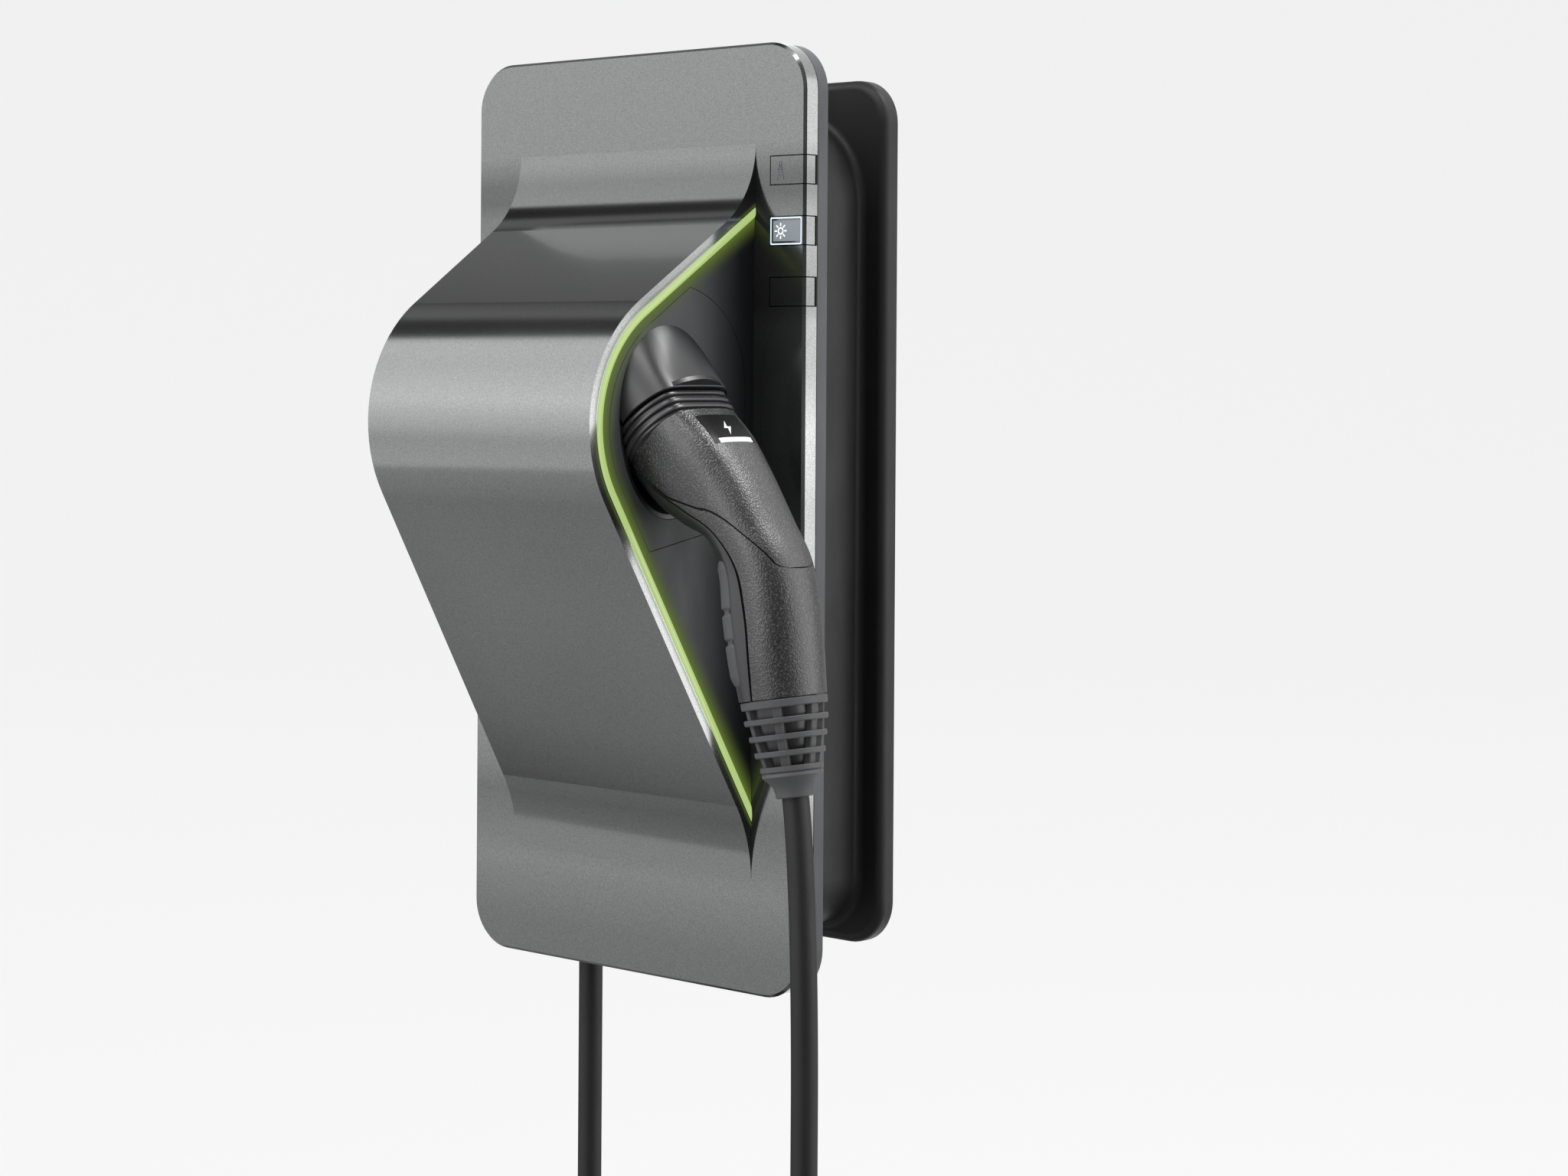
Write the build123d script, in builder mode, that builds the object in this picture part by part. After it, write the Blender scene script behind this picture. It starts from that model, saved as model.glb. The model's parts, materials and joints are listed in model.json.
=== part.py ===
from build123d import *
from math import cos, degrees, radians, sin, sqrt, tan
import os

os.makedirs("parts", exist_ok=True)

# Wall-mounted charger for electric cars, with its plug docked in the right side.
# Millimetres. The origin is the centre of the rear face on the wall.
# +X is to the right seen from the front, +Y goes into the wall, +Z is up.

# ---- driving dimensions: housing ----
FACE_WIDTH = 260.0
FACE_HEIGHT = 520.0
FACE_CORNER = 27.0
FACE_OUT = 95.0  # front face, measured from the wall
COVER_DEPTH = 10.0
COVER_WALL = 3.0
COVER_BACK = FACE_OUT - COVER_DEPTH
GASKET_THICK = 1.0
GASKET_WIDTH = 4.0
RIM_THICK = 7.8
RIM_FRONT = COVER_BACK - GASKET_THICK
RIM_BACK = RIM_FRONT - RIM_THICK
SEAM = 0.4

# ---- driving dimensions: bulge ----
BULGE_HALF = 93.7  # half width where it meets the front face
DRAFT = 2.6
BULGE_TOP = 176.7
BULGE_LOW = -175.7
UPPER_SLOPE = 55.4
LOWER_SLOPE = 30.2
PEAK_RADIUS = 80.0
UPPER_FOOT_RADIUS = 54.0
LOWER_FOOT_RADIUS = 85.0
PAINTED_EDGE = 6.0
STRIP_WIDTH = 3.4
CHEEK_SUNK = 0.8  # the cheeks lie this much below the painted edge
CHEEK_THICK = 2.4
CHEEK_BACK = CHEEK_SUNK + CHEEK_THICK

# ---- driving dimensions: leaf-shaped plate around the dock ----
LEAF_INSET = 15.0
LEAF_ARC_CENTRE = (-154.5, 74.0)
LEAF_ARC_R = 52.7
LEAF_FOOT = -0.8
LEAF_FOOT_TILT = 11.5
LEAF_REACH = -260.0  # any depth well in front of the bulge

# ---- driving dimensions: rear housing ----
CORE_HALF = 98.0
CORE_TOP = 226.0
CORE_LOW = -233.0
CORE_TOP_RADIUS = 52.0
CORE_LOW_RADIUS = 28.0
TUB_WALL = 3.0
TUB_BACK = 5.0
FLANGE_WIDTH = 230.0
FLANGE_TOP = 246.0
FLANGE_LOW = -243.0
FLANGE_THICK = 11.0
FLANGE_CORNER = 25.0
WALL_HOLE_X = 70.0
WALL_HOLE_Z = 150.0
WALL_HOLE_R = 3.25

# ---- driving dimensions: buttons ----
BUTTON_HEIGHT = 16.3
BUTTON_PITCH = 33.0
BUTTON_TOP_Z = 190.0
BUTTON_LEFT = 104.4
BUTTON_GAP = 0.6
BUTTON_WALL = 2.5
BUTTON_TRAVEL = 1.2
WINDOW_X = (107.0, 126.5)
WINDOW_HALF = 5.6
WINDOW_THICK = 1.3

# ---- driving dimensions: dock and plug ----
PLUG_Y = -158.0
DOCK_X = 91.0
DOCK_Z = 54.5
DOCK_ANGLE = -49.0  # the plug points down and away from the cheek by this much
COLLAR_R = 33.0
COLLAR_FLAT = 26.0
COLLAR_LENGTH = 13.5
PAD_SPINE = [(140.5, -28.0), (141.4, -36.0), (142.7, -50.0), (146.4, -69.0), (150.3, -84.0)]
PAD_GAP = 1.0
PAD_THICK = 1.6
PAD_RADIUS = 30.0
PAD_HALF_ANGLE = 24.0
PLUG_SCREW_RING = 25.0
BADGE_WIDTH = 30.0
BADGE_LENGTH = 21.0
BADGE_THICK = 1.5
DOCK_CLEAR = 0.6
HOOD_WALL = 1.6
HOOD_R = COLLAR_R + DOCK_CLEAR + HOOD_WALL
NOSE_R = 22.0
NOSE_FLAT = 18.5
NOSE_LENGTH = 42.0
NOSE_WALL = 2.4
NOSE_CLEAR = 0.6
CONTACT_R = 3.0
PILOT_R = 1.5
SHELL_WALL = 3.0
CAGE_START = (174.0, -87.0)
CAGE_ANGLE = -80.3
CAGE_LENGTH = 38.5
CAGE_TOP_R = 22.3
CAGE_LOW_R = 14.4
CAGE_ROWS = 4
CAGE_COLUMNS = 6
CAGE_OPENING = 13.0
CONE_LENGTH = 11.0
CONE_R = 9.2

# ---- driving dimensions: cable ----
CABLE_R = 7.0
GLAND_X = -76.0
GLAND_Y = -51.0
LEG_X = 190.0
BEND_Z = -400.0
CABLE_GAP = 2.0
GLAND_BOSS = 16.0  # height of the flat seat for the gland's lock nut inside the corner
SUPPLY_X = 40.0
SUPPLY_Y = -42.0
SUPPLY_R = 9.0

# ---- derived values ----
FRONT = Plane.XZ  # its normal points away from the wall
OUT = (cos(radians(DOCK_ANGLE)), 0, sin(radians(DOCK_ANGLE)))
DOCK = Plane(origin=(DOCK_X, PLUG_Y, DOCK_Z), x_dir=(0, 1, 0), z_dir=OUT)
CAGE_DIRECTION = (cos(radians(CAGE_ANGLE)), 0, sin(radians(CAGE_ANGLE)))
CAGE = Plane(origin=(CAGE_START[0], PLUG_Y, CAGE_START[1]), x_dir=(0, 1, 0), z_dir=CAGE_DIRECTION)
BADGE_PLANE = Plane(origin=(129.4, PLUG_Y, 54.6), x_dir=(0, 1, 0), z_dir=(0.644, 0, 0.765))
BUTTON_Z = [BUTTON_TOP_Z - i * BUTTON_PITCH for i in range(3)]
SCREW_SPOTS = [(x, z) for z in (235.0, 0.0, -235.0) for x in (114.0, -114.0)]


def save(piece, name):
    """Label one finished piece and write its file."""
    piece.part.label = name
    export_step(piece.part, f"parts/{name}.step")


def bulge_outline(inset=0.0, back=60.0, smooth_feet=False):
    """Closed side outline of the bulge as (y, z), with both slopes and the face moved inward."""
    upper, lower = radians(UPPER_SLOPE), radians(LOWER_SLOPE)
    top = BULGE_TOP - inset / sin(upper) + (inset / tan(upper) if smooth_feet else 0)
    low = BULGE_LOW + inset / sin(lower) - (inset / tan(lower) if smooth_feet else 0)
    face = -FACE_OUT + (inset if smooth_feet else 0)
    rise = (top - low) / (1 / tan(upper) + 1 / tan(lower))
    peak = top - rise / tan(upper)
    nose = PEAK_RADIUS - inset
    if smooth_feet:
        corners = [(face, top + 60), (face, top), (face - rise, peak), (face, low), (face, low - 80)]
        radii = [0, UPPER_FOOT_RADIUS + inset, nose, LOWER_FOOT_RADIUS + inset, 0]
        FilletPolyline(*corners, (-back, low - 80), (-back, top + 60), radius=radii + [0, 0], close=True)
    else:
        FilletPolyline((face, top), (face - rise, peak), (face, low), radius=[0, nose, 0], close=True)


def side_plane(side, depth):
    """Drafted side of the bulge, sunk by depth. side is +1 for the right and -1 for the left."""
    tilt = radians(DRAFT)
    return Plane(
        origin=(side * (BULGE_HALF - depth), -FACE_OUT, 0),
        x_dir=(0, 0, 1),
        z_dir=(side * cos(tilt), -sin(tilt), 0),
    )


def core_outline(inset=0.0):
    """Closed front outline of the rear housing's core as (x, z)."""
    half, top, low = CORE_HALF - inset, CORE_TOP - inset, CORE_LOW + inset
    upper, lower = CORE_TOP_RADIUS - inset, CORE_LOW_RADIUS - inset
    corners = [(half, low), (half, top), (-half, top), (-half, low)]
    FilletPolyline(*corners, radius=[lower, upper, upper, lower], close=True)


def leaf_edges(gap=0.0):
    """Top, bottom and rear edges of the leaf plate as (y, z), moved outward by gap."""
    rear = LEAF_ARC_CENTRE[0] + LEAF_ARC_R + gap
    top = LEAF_ARC_CENTRE[1] + LEAF_ARC_R + gap
    foot = LEAF_FOOT - gap
    low_front = foot - (rear - LEAF_REACH) * tan(radians(LEAF_FOOT_TILT))
    Line((LEAF_ARC_CENTRE[0], top), (LEAF_REACH, top))
    Line((LEAF_REACH, top), (LEAF_REACH, low_front))
    Line((LEAF_REACH, low_front), (rear, foot))
    Line((rear, foot), (rear, LEAF_ARC_CENTRE[1]))
    CenterArc(LEAF_ARC_CENTRE, LEAF_ARC_R + gap, 0, 90)


def d_shape(radius, flat):
    """Circle with a flat on its upper side, the outline shared by the collar and the nose."""
    Circle(radius)
    with Locations((0, flat - radius)):
        Rectangle(2 * radius, 2 * radius, mode=Mode.INTERSECT)


def block(x, y, z, mode=Mode.ADD):
    """Box between two limits on each axis."""
    with Locations(((x[0] + x[1]) / 2, (y[0] + y[1]) / 2, (z[0] + z[1]) / 2)):
        Box(abs(x[1] - x[0]), abs(y[1] - y[0]), abs(z[1] - z[0]), mode=mode)


def rod(x, z, y_from, y_to, radius, mode=Mode.ADD):
    """Cylinder along Y between two depths."""
    with Locations(Location((x, (y_from + y_to) / 2, z), (90, 0, 0))):
        Cylinder(radius, abs(y_to - y_from), mode=mode)


# =====================================================================
# Front cover: shallow tray with the asymmetric bulge
# =====================================================================
with BuildPart() as bulge_solid:
    with BuildSketch(Plane.YZ):
        with BuildLine():
            bulge_outline(0, FACE_OUT - 1, smooth_feet=True)
        make_face()
    extrude(amount=BULGE_HALF + 10, both=True)
    split(bisect_by=side_plane(1, 0), keep=Keep.BOTTOM)
    split(bisect_by=side_plane(-1, 0), keep=Keep.BOTTOM)

with BuildPart() as bulge_void:
    with BuildSketch(Plane.YZ):
        with BuildLine():
            bulge_outline(COVER_WALL, COVER_BACK - 5, smooth_feet=True)
        make_face()
    extrude(amount=BULGE_HALF + 10, both=True)
    split(bisect_by=side_plane(1, COVER_WALL), keep=Keep.BOTTOM)
    split(bisect_by=side_plane(-1, COVER_WALL), keep=Keep.BOTTOM)

with BuildPart() as front_cover:
    with BuildSketch(FRONT.offset(COVER_BACK)):
        RectangleRounded(FACE_WIDTH, FACE_HEIGHT, FACE_CORNER)
    extrude(amount=COVER_DEPTH)
    chamfer(faces().sort_by(Axis.Y)[0].edges(), 1.5)
    add(bulge_solid)
    with BuildSketch(FRONT.offset(COVER_BACK)):
        RectangleRounded(FACE_WIDTH - 2 * COVER_WALL, FACE_HEIGHT - 2 * COVER_WALL, FACE_CORNER - COVER_WALL)
    extrude(amount=COVER_DEPTH - COVER_WALL, mode=Mode.SUBTRACT)
    add(bulge_void, mode=Mode.SUBTRACT)
    with BuildSketch(Plane.YZ.offset(-BULGE_HALF - 10)):
        with BuildLine():
            bulge_outline(PAINTED_EDGE)
        make_face()
    extrude(amount=2 * BULGE_HALF + 20, mode=Mode.SUBTRACT)
    for z in BUTTON_Z:
        with BuildSketch(FRONT.offset(COVER_BACK - 1)):
            with Locations((BUTTON_LEFT + 20, z)):
                Rectangle(40, BUTTON_HEIGHT)
        extrude(amount=COVER_DEPTH + 2, mode=Mode.SUBTRACT)
    for x, z in SCREW_SPOTS:
        rod(x, z, -FACE_OUT + 2, -RIM_FRONT, 4.5)
        rod(x, z, -FACE_OUT + 3.5, -RIM_FRONT, 1.85, mode=Mode.SUBTRACT)
save(front_cover, "front_cover")

# =====================================================================
# Sides of the bulge: cheeks, light strip and its board
# =====================================================================
RIGHT_EDGE = PAINTED_EDGE + STRIP_WIDTH + 2 * SEAM
LEFT_EDGE = PAINTED_EDGE + SEAM
for side, name, edge in [(1, "right_cheek", RIGHT_EDGE), (-1, "left_cheek", LEFT_EDGE)]:
    with BuildPart() as cheek:
        with BuildSketch(Plane.YZ):
            with BuildLine():
                bulge_outline(edge)
            make_face()
        extrude(amount=side * (BULGE_HALF + 5))
        split(bisect_by=side_plane(side, CHEEK_SUNK), keep=Keep.BOTTOM)
        split(bisect_by=side_plane(side, CHEEK_BACK), keep=Keep.TOP)
        if side == 1:
            with BuildSketch(Plane.YZ.offset(BULGE_HALF - 20)):
                with BuildLine():
                    bulge_outline(LEAF_INSET - SEAM)
                make_face()
                with BuildLine():
                    leaf_edges(SEAM)
                make_face(mode=Mode.INTERSECT)
            extrude(amount=40, mode=Mode.SUBTRACT)
    save(cheek, name)

with BuildPart() as light_strip:
    with BuildSketch(Plane.YZ):
        with BuildLine():
            bulge_outline(PAINTED_EDGE + SEAM)
        make_face()
    extrude(amount=BULGE_HALF + 5)
    with BuildSketch(Plane.YZ):
        with BuildLine():
            bulge_outline(PAINTED_EDGE + SEAM + STRIP_WIDTH)
        make_face()
    extrude(amount=BULGE_HALF + 5, mode=Mode.SUBTRACT)
    split(bisect_by=side_plane(1, 0.4), keep=Keep.BOTTOM)
    split(bisect_by=side_plane(1, 3.0), keep=Keep.TOP)
save(light_strip, "light_strip")

with BuildPart() as light_board:
    with BuildSketch(Plane.YZ):
        with BuildLine():
            bulge_outline(PAINTED_EDGE + SEAM)
        make_face()
    extrude(amount=BULGE_HALF + 5)
    with BuildSketch(Plane.YZ):
        with BuildLine():
            bulge_outline(PAINTED_EDGE + SEAM + 7)
        make_face()
    extrude(amount=BULGE_HALF + 5, mode=Mode.SUBTRACT)
    split(bisect_by=side_plane(1, 3.3), keep=Keep.BOTTOM)
    split(bisect_by=side_plane(1, 4.9), keep=Keep.TOP)
save(light_board, "light_board")

# =====================================================================
# Dock: leaf-shaped plate, hood over the plug's collar and the parking socket
# =====================================================================
with BuildPart() as dock_plate:
    with BuildSketch(Plane.YZ):
        with BuildLine():
            bulge_outline(LEAF_INSET)
        make_face()
        with BuildLine():
            leaf_edges()
        make_face(mode=Mode.INTERSECT)
    extrude(amount=BULGE_HALF + 5)
    split(bisect_by=side_plane(1, CHEEK_SUNK - 0.2), keep=Keep.BOTTOM)
    split(bisect_by=side_plane(1, CHEEK_BACK), keep=Keep.TOP)
    with BuildSketch(DOCK.offset(-80)):
        Circle(HOOD_R + 0.1)
    extrude(amount=160, mode=Mode.SUBTRACT)
save(dock_plate, "dock_plate")

# The cheek lies outside the leaf, so the hood's foot is cut back there.
with BuildPart() as cheek_room:
    with BuildSketch(Plane.YZ.offset(BULGE_HALF - 20)):
        with Locations((-FACE_OUT - 75, 60)):
            Rectangle(200, 300)
        with BuildLine():
            bulge_outline(LEAF_INSET)
        make_face(mode=Mode.SUBTRACT)
    extrude(amount=40)
    split(bisect_by=side_plane(1, CHEEK_SUNK - 0.2), keep=Keep.BOTTOM)

with BuildPart() as dock_hood:
    with BuildSketch(DOCK.offset(-75)):
        Circle(HOOD_R)
        Circle(HOOD_R - HOOD_WALL, mode=Mode.SUBTRACT)
    extrude(amount=75)
    split(bisect_by=side_plane(1, CHEEK_BACK), keep=Keep.TOP)
    add(cheek_room, mode=Mode.SUBTRACT)
save(dock_hood, "dock_hood")

with BuildPart() as dock_socket:
    with BuildSketch(DOCK.offset(0.1)):
        Circle(HOOD_R)
        Circle(HOOD_R - HOOD_WALL, mode=Mode.SUBTRACT)
    extrude(amount=70)
    split(bisect_by=side_plane(1, CHEEK_SUNK), keep=Keep.BOTTOM)
    with BuildSketch(DOCK.offset(-3)):
        Circle(COLLAR_R + 0.4)
    extrude(amount=2.6)
    with BuildSketch(DOCK.offset(-3)):
        Circle(HOOD_R)
        with Locations((0, 24)):
            Rectangle(100, 64, mode=Mode.SUBTRACT)
    extrude(amount=3.1)
    with BuildSketch(DOCK.offset(-NOSE_LENGTH - 5)):
        d_shape(NOSE_R + NOSE_CLEAR + 2.5, NOSE_FLAT + NOSE_CLEAR + 2.5)
    extrude(amount=NOSE_LENGTH + 3)
    with BuildSketch(DOCK.offset(-NOSE_LENGTH - 2)):
        d_shape(NOSE_R + NOSE_CLEAR, NOSE_FLAT + NOSE_CLEAR)
    extrude(amount=NOSE_LENGTH + 3, mode=Mode.SUBTRACT)
save(dock_socket, "dock_socket")

# =====================================================================
# Plug: collar, nose with contacts, two-part shell, grip pad, strain relief
# =====================================================================
# Each station is (underside point, top point, half width, roundness), points as (x, z).
PLUG_STATIONS = [
    ((77.5, 24.2), (120.6, 61.6), 28.5, 0.8),
    ((93.5, 8.9), (137.6, 47.3), 27.5, 0.78),
    ((112.0, -1.0), (154.0, 28.0), 25.0, 0.8),
    ((130.0, -8.0), (169.5, 5.0), 23.5, 0.86),
    ((139.5, -24.0), (183.5, -15.0), 23.0, 0.9),
    ((142.3, -47.0), (190.6, -38.7), 23.5, 0.92),
    ((146.4, -69.0), (193.6, -61.0), 23.5, 0.95),
    ((151.8, -90.8), (196.2, -83.2), 22.3, 0.98),
]


def station_plane(low, top):
    """Section plane across the plug through its underside and top points."""
    along = Vector(top[0] - low[0], 0, top[1] - low[1])
    centre = ((low[0] + top[0]) / 2, PLUG_Y, (low[1] + top[1]) / 2)
    return Plane(origin=centre, x_dir=(0, 1, 0), z_dir=Vector(0, 1, 0).cross(along))


def plug_section(low, top, half, roundness, wall):
    """One cross-section of the plug, moved inward by wall."""
    tall = sqrt((top[0] - low[0]) ** 2 + (top[1] - low[1]) ** 2) - 2 * wall
    wide = 2 * (half - wall)
    RectangleRounded(wide, tall, min(wide, tall) / 2 * roundness)


with BuildPart() as plug_outer:
    for low, top, half, roundness in PLUG_STATIONS:
        with BuildSketch(station_plane(low, top)):
            plug_section(low, top, half, roundness, 0)
    loft()

with BuildPart() as plug_hollow:
    for low, top, half, roundness in PLUG_STATIONS:
        with BuildSketch(station_plane(low, top)):
            plug_section(low, top, half, roundness, SHELL_WALL)
    loft()

with BuildPart() as cover_knife:
    with BuildSketch(FRONT.offset(-PLUG_Y)):
        with BuildLine():
            corners = [(60, 68), (126, 2), (166, -26), (225, -26), (225, 110), (60, 110)]
            FilletPolyline(*corners, radius=[0, 40, 30, 0, 0, 0], close=True)
        make_face()
    extrude(amount=60, both=True)

with BuildPart() as badge_pocket:
    with BuildSketch(BADGE_PLANE.offset(-BADGE_THICK)):
        Rectangle(BADGE_WIDTH + SEAM, BADGE_LENGTH + SEAM)
    extrude(amount=12)

with BuildPart() as plug_badge:
    with BuildSketch(BADGE_PLANE.offset(-BADGE_THICK)):
        Rectangle(BADGE_WIDTH, BADGE_LENGTH)
        with Locations((0, 3 - BADGE_LENGTH / 2)):
            Rectangle(BADGE_WIDTH - 7 + SEAM, 2.6 + SEAM, mode=Mode.SUBTRACT)
    extrude(amount=BADGE_THICK)
save(plug_badge, "plug_badge")

with BuildPart() as badge_light:
    with BuildSketch(BADGE_PLANE.offset(-BADGE_THICK)):
        with Locations((0, 3 - BADGE_LENGTH / 2)):
            Rectangle(BADGE_WIDTH - 7, 2.6)
    extrude(amount=BADGE_THICK)
save(badge_light, "badge_light")

with BuildPart() as plug_top_cover:
    add(plug_outer)
    add(plug_hollow, mode=Mode.SUBTRACT)
    add(cover_knife, mode=Mode.INTERSECT)
    add(badge_pocket, mode=Mode.SUBTRACT)
save(plug_top_cover, "plug_top_cover")

with BuildPart() as plug_shell:
    add(plug_outer)
    add(plug_hollow, mode=Mode.SUBTRACT)
    add(cover_knife, mode=Mode.SUBTRACT)
save(plug_shell, "plug_shell")

# The soft pad is a curved band lying along the underside of the handle.
with BuildPart() as grip_pad:
    with BuildLine(FRONT.offset(-PLUG_Y)) as pad_line:
        pad_path = Spline(*[(x - PAD_GAP, z) for x, z in PAD_SPINE])
    with BuildSketch(Plane(origin=pad_path @ 0, x_dir=(0, 1, 0), z_dir=pad_path % 0)):
        with BuildLine():
            centre = (0, PAD_RADIUS)
            inner = CenterArc(centre, PAD_RADIUS, -90 - PAD_HALF_ANGLE, 2 * PAD_HALF_ANGLE)
            outer = CenterArc(centre, PAD_RADIUS + PAD_THICK, -90 - PAD_HALF_ANGLE, 2 * PAD_HALF_ANGLE)
            Line(inner @ 0, outer @ 0)
            Line(inner @ 1, outer @ 1)
        make_face()
    sweep(path=pad_line.wires()[0])
save(grip_pad, "grip_pad")

with BuildPart() as plug_collar:
    with BuildSketch(DOCK.offset(0.3)):
        d_shape(COLLAR_R - 1.8, COLLAR_FLAT - 1.8)
    extrude(amount=COLLAR_LENGTH)
    for i in range(3):
        with BuildSketch(DOCK.offset(0.3 + 4.6 * i)):
            d_shape(COLLAR_R, COLLAR_FLAT)
        extrude(amount=2.8)
    with BuildSketch(DOCK):
        d_shape(NOSE_R - NOSE_WALL, NOSE_FLAT - NOSE_WALL)
        with PolarLocations(PLUG_SCREW_RING, 4, start_angle=45):
            Circle(1.5)
    extrude(amount=COLLAR_LENGTH + 1, mode=Mode.SUBTRACT)
save(plug_collar, "plug_collar")

with BuildPart() as plug_nose:
    with BuildSketch(DOCK.offset(-NOSE_LENGTH)):
        d_shape(NOSE_R, NOSE_FLAT)
    extrude(amount=NOSE_LENGTH + 0.2)
    with BuildSketch(DOCK.offset(-NOSE_LENGTH - 1)):
        d_shape(NOSE_R - NOSE_WALL, NOSE_FLAT - NOSE_WALL)
    extrude(amount=NOSE_LENGTH + 2, mode=Mode.SUBTRACT)
save(plug_nose, "plug_nose")

with BuildPart() as contact_insert:
    with BuildSketch(DOCK.offset(-NOSE_LENGTH + 1.5)):
        d_shape(NOSE_R - NOSE_WALL, NOSE_FLAT - NOSE_WALL)
        with PolarLocations(11.5, 4, start_angle=45):
            Circle(CONTACT_R + 0.6, mode=Mode.SUBTRACT)
        Circle(CONTACT_R + 0.6, mode=Mode.SUBTRACT)
        with Locations((-6, 12.3), (6, 12.3)):
            Circle(PILOT_R + 0.5, mode=Mode.SUBTRACT)
    extrude(amount=NOSE_LENGTH + 8)
save(contact_insert, "contact_insert")

with BuildPart() as contact_sleeves:
    with BuildSketch(DOCK.offset(-NOSE_LENGTH + 4)):
        with PolarLocations(11.5, 4, start_angle=45):
            Circle(CONTACT_R + 0.6)
            Circle(CONTACT_R - 0.4, mode=Mode.SUBTRACT)
        Circle(CONTACT_R + 0.6)
        Circle(CONTACT_R - 0.4, mode=Mode.SUBTRACT)
        with Locations((-6, 12.3), (6, 12.3)):
            Circle(PILOT_R + 0.5)
            Circle(PILOT_R - 0.3, mode=Mode.SUBTRACT)
    extrude(amount=NOSE_LENGTH + 10)
save(contact_sleeves, "contact_sleeves")

with BuildPart() as plug_screws:
    with BuildSketch(DOCK.offset(0.6)):
        with PolarLocations(PLUG_SCREW_RING, 4, start_angle=45):
            Circle(1.4)
    extrude(amount=COLLAR_LENGTH - 0.6)
save(plug_screws, "plug_screws")

# =====================================================================
# Strain relief at the plug's end
# =====================================================================
with BuildPart() as strain_relief:
    with BuildSketch(CAGE.offset(0.2)):
        Circle(CAGE_TOP_R)
    with BuildSketch(CAGE.offset(CAGE_LENGTH)):
        Circle(CAGE_LOW_R)
    loft()
    with BuildSketch(CAGE.offset(0.2)):
        Circle(CAGE_TOP_R - 4)
    with BuildSketch(CAGE.offset(CAGE_LENGTH)):
        Circle(CAGE_LOW_R - 3.6)
    loft(mode=Mode.SUBTRACT)
    for row in range(CAGE_ROWS):
        with BuildSketch(CAGE.offset(5.0 + row * 8.4)):
            with PolarLocations(21, CAGE_COLUMNS):
                Rectangle(22, CAGE_OPENING)
        extrude(amount=5.2, mode=Mode.SUBTRACT)
    with BuildSketch(CAGE.offset(CAGE_LENGTH)):
        Circle(CAGE_LOW_R)
    with BuildSketch(CAGE.offset(CAGE_LENGTH + CONE_LENGTH)):
        Circle(CONE_R)
    loft()
    with BuildSketch(CAGE.offset(CAGE_LENGTH - 1)):
        Circle(CABLE_R + 0.05)
    extrude(amount=CONE_LENGTH + 2, mode=Mode.SUBTRACT)
save(strain_relief, "strain_relief")

with BuildPart() as strain_sleeve:
    with BuildSketch(CAGE.offset(1)):
        Circle(10)
        Circle(CABLE_R + 0.05, mode=Mode.SUBTRACT)
    extrude(amount=CAGE_LENGTH - 2)
save(strain_sleeve, "strain_sleeve")

with BuildPart() as clamp_nut:
    with BuildSketch(CAGE.offset(-14)):
        RegularPolygon(16, 6)
        Circle(10.4, mode=Mode.SUBTRACT)
    extrude(amount=12)
save(clamp_nut, "clamp_nut")

with BuildPart() as cable_seal:
    with BuildSketch(CAGE.offset(-13)):
        Circle(10.35)
        Circle(CABLE_R + 0.05, mode=Mode.SUBTRACT)
    extrude(amount=10)
save(cable_seal, "cable_seal")

# =====================================================================
# Cable: two hanging legs joined by a round bend below the charger
# =====================================================================
LEG_PLUG = Vector(LEG_X, PLUG_Y, BEND_Z)
LEG_GLAND = Vector(GLAND_X, GLAND_Y, BEND_Z)
BEND_CENTRE = (LEG_PLUG + LEG_GLAND) * 0.5
BEND_R = (LEG_PLUG - LEG_GLAND).length / 2
BEND_SIDE = (LEG_PLUG - LEG_GLAND).normalized()
BEND_END = 90 - degrees(CABLE_GAP / 2 / BEND_R)


def bend_point(side, angle):
    """Point on the bend, angle degrees down from the leg on that side."""
    across = BEND_SIDE * (side * BEND_R * cos(radians(angle)))
    return BEND_CENTRE + across - Vector(0, 0, BEND_R * sin(radians(angle)))


with BuildPart() as cable_plug_side:
    with BuildLine() as plug_leg:
        start = CAGE.from_local_coords((0, 0, -24))
        exit_point = CAGE.from_local_coords((0, 0, CAGE_LENGTH + CONE_LENGTH))
        Line(start, exit_point)
        steer = exit_point + Vector(*CAGE_DIRECTION) * 20
        Bezier(exit_point, steer, (LEG_X, PLUG_Y, -210), (LEG_X, PLUG_Y, -300))
        Line((LEG_X, PLUG_Y, -300), LEG_PLUG)
        ThreePointArc(LEG_PLUG, bend_point(1, BEND_END / 2), bend_point(1, BEND_END))
    with BuildSketch(CAGE.offset(-24)):
        Circle(CABLE_R)
    sweep(path=plug_leg.wires()[0])
save(cable_plug_side, "cable_plug_side")

with BuildPart() as cable_housing_side:
    with BuildLine() as gland_leg:
        Line((GLAND_X, GLAND_Y, -205), LEG_GLAND)
        ThreePointArc(LEG_GLAND, bend_point(-1, BEND_END / 2), bend_point(-1, BEND_END))
    with BuildSketch(Plane(origin=(GLAND_X, GLAND_Y, -205), z_dir=(0, 0, -1))):
        Circle(CABLE_R)
    sweep(path=gland_leg.wires()[0])
save(cable_housing_side, "cable_housing_side")

with BuildPart() as plug_wires:
    for angle in range(0, 360, 72):
        tip = (cos(radians(angle)), sin(radians(angle)))
        start = DOCK.from_local_coords((9 * tip[0], 9 * tip[1], 14.2))
        end = CAGE.from_local_coords((4 * tip[0], 4 * tip[1], -24.5))
        with BuildLine() as lead:
            Spline(start, end, tangents=(OUT, CAGE_DIRECTION))
        with BuildSketch(Plane(origin=start, x_dir=(0, 1, 0), z_dir=OUT)):
            Circle(1.5)
        sweep(path=lead.wires()[0])
save(plug_wires, "plug_wires")

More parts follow.
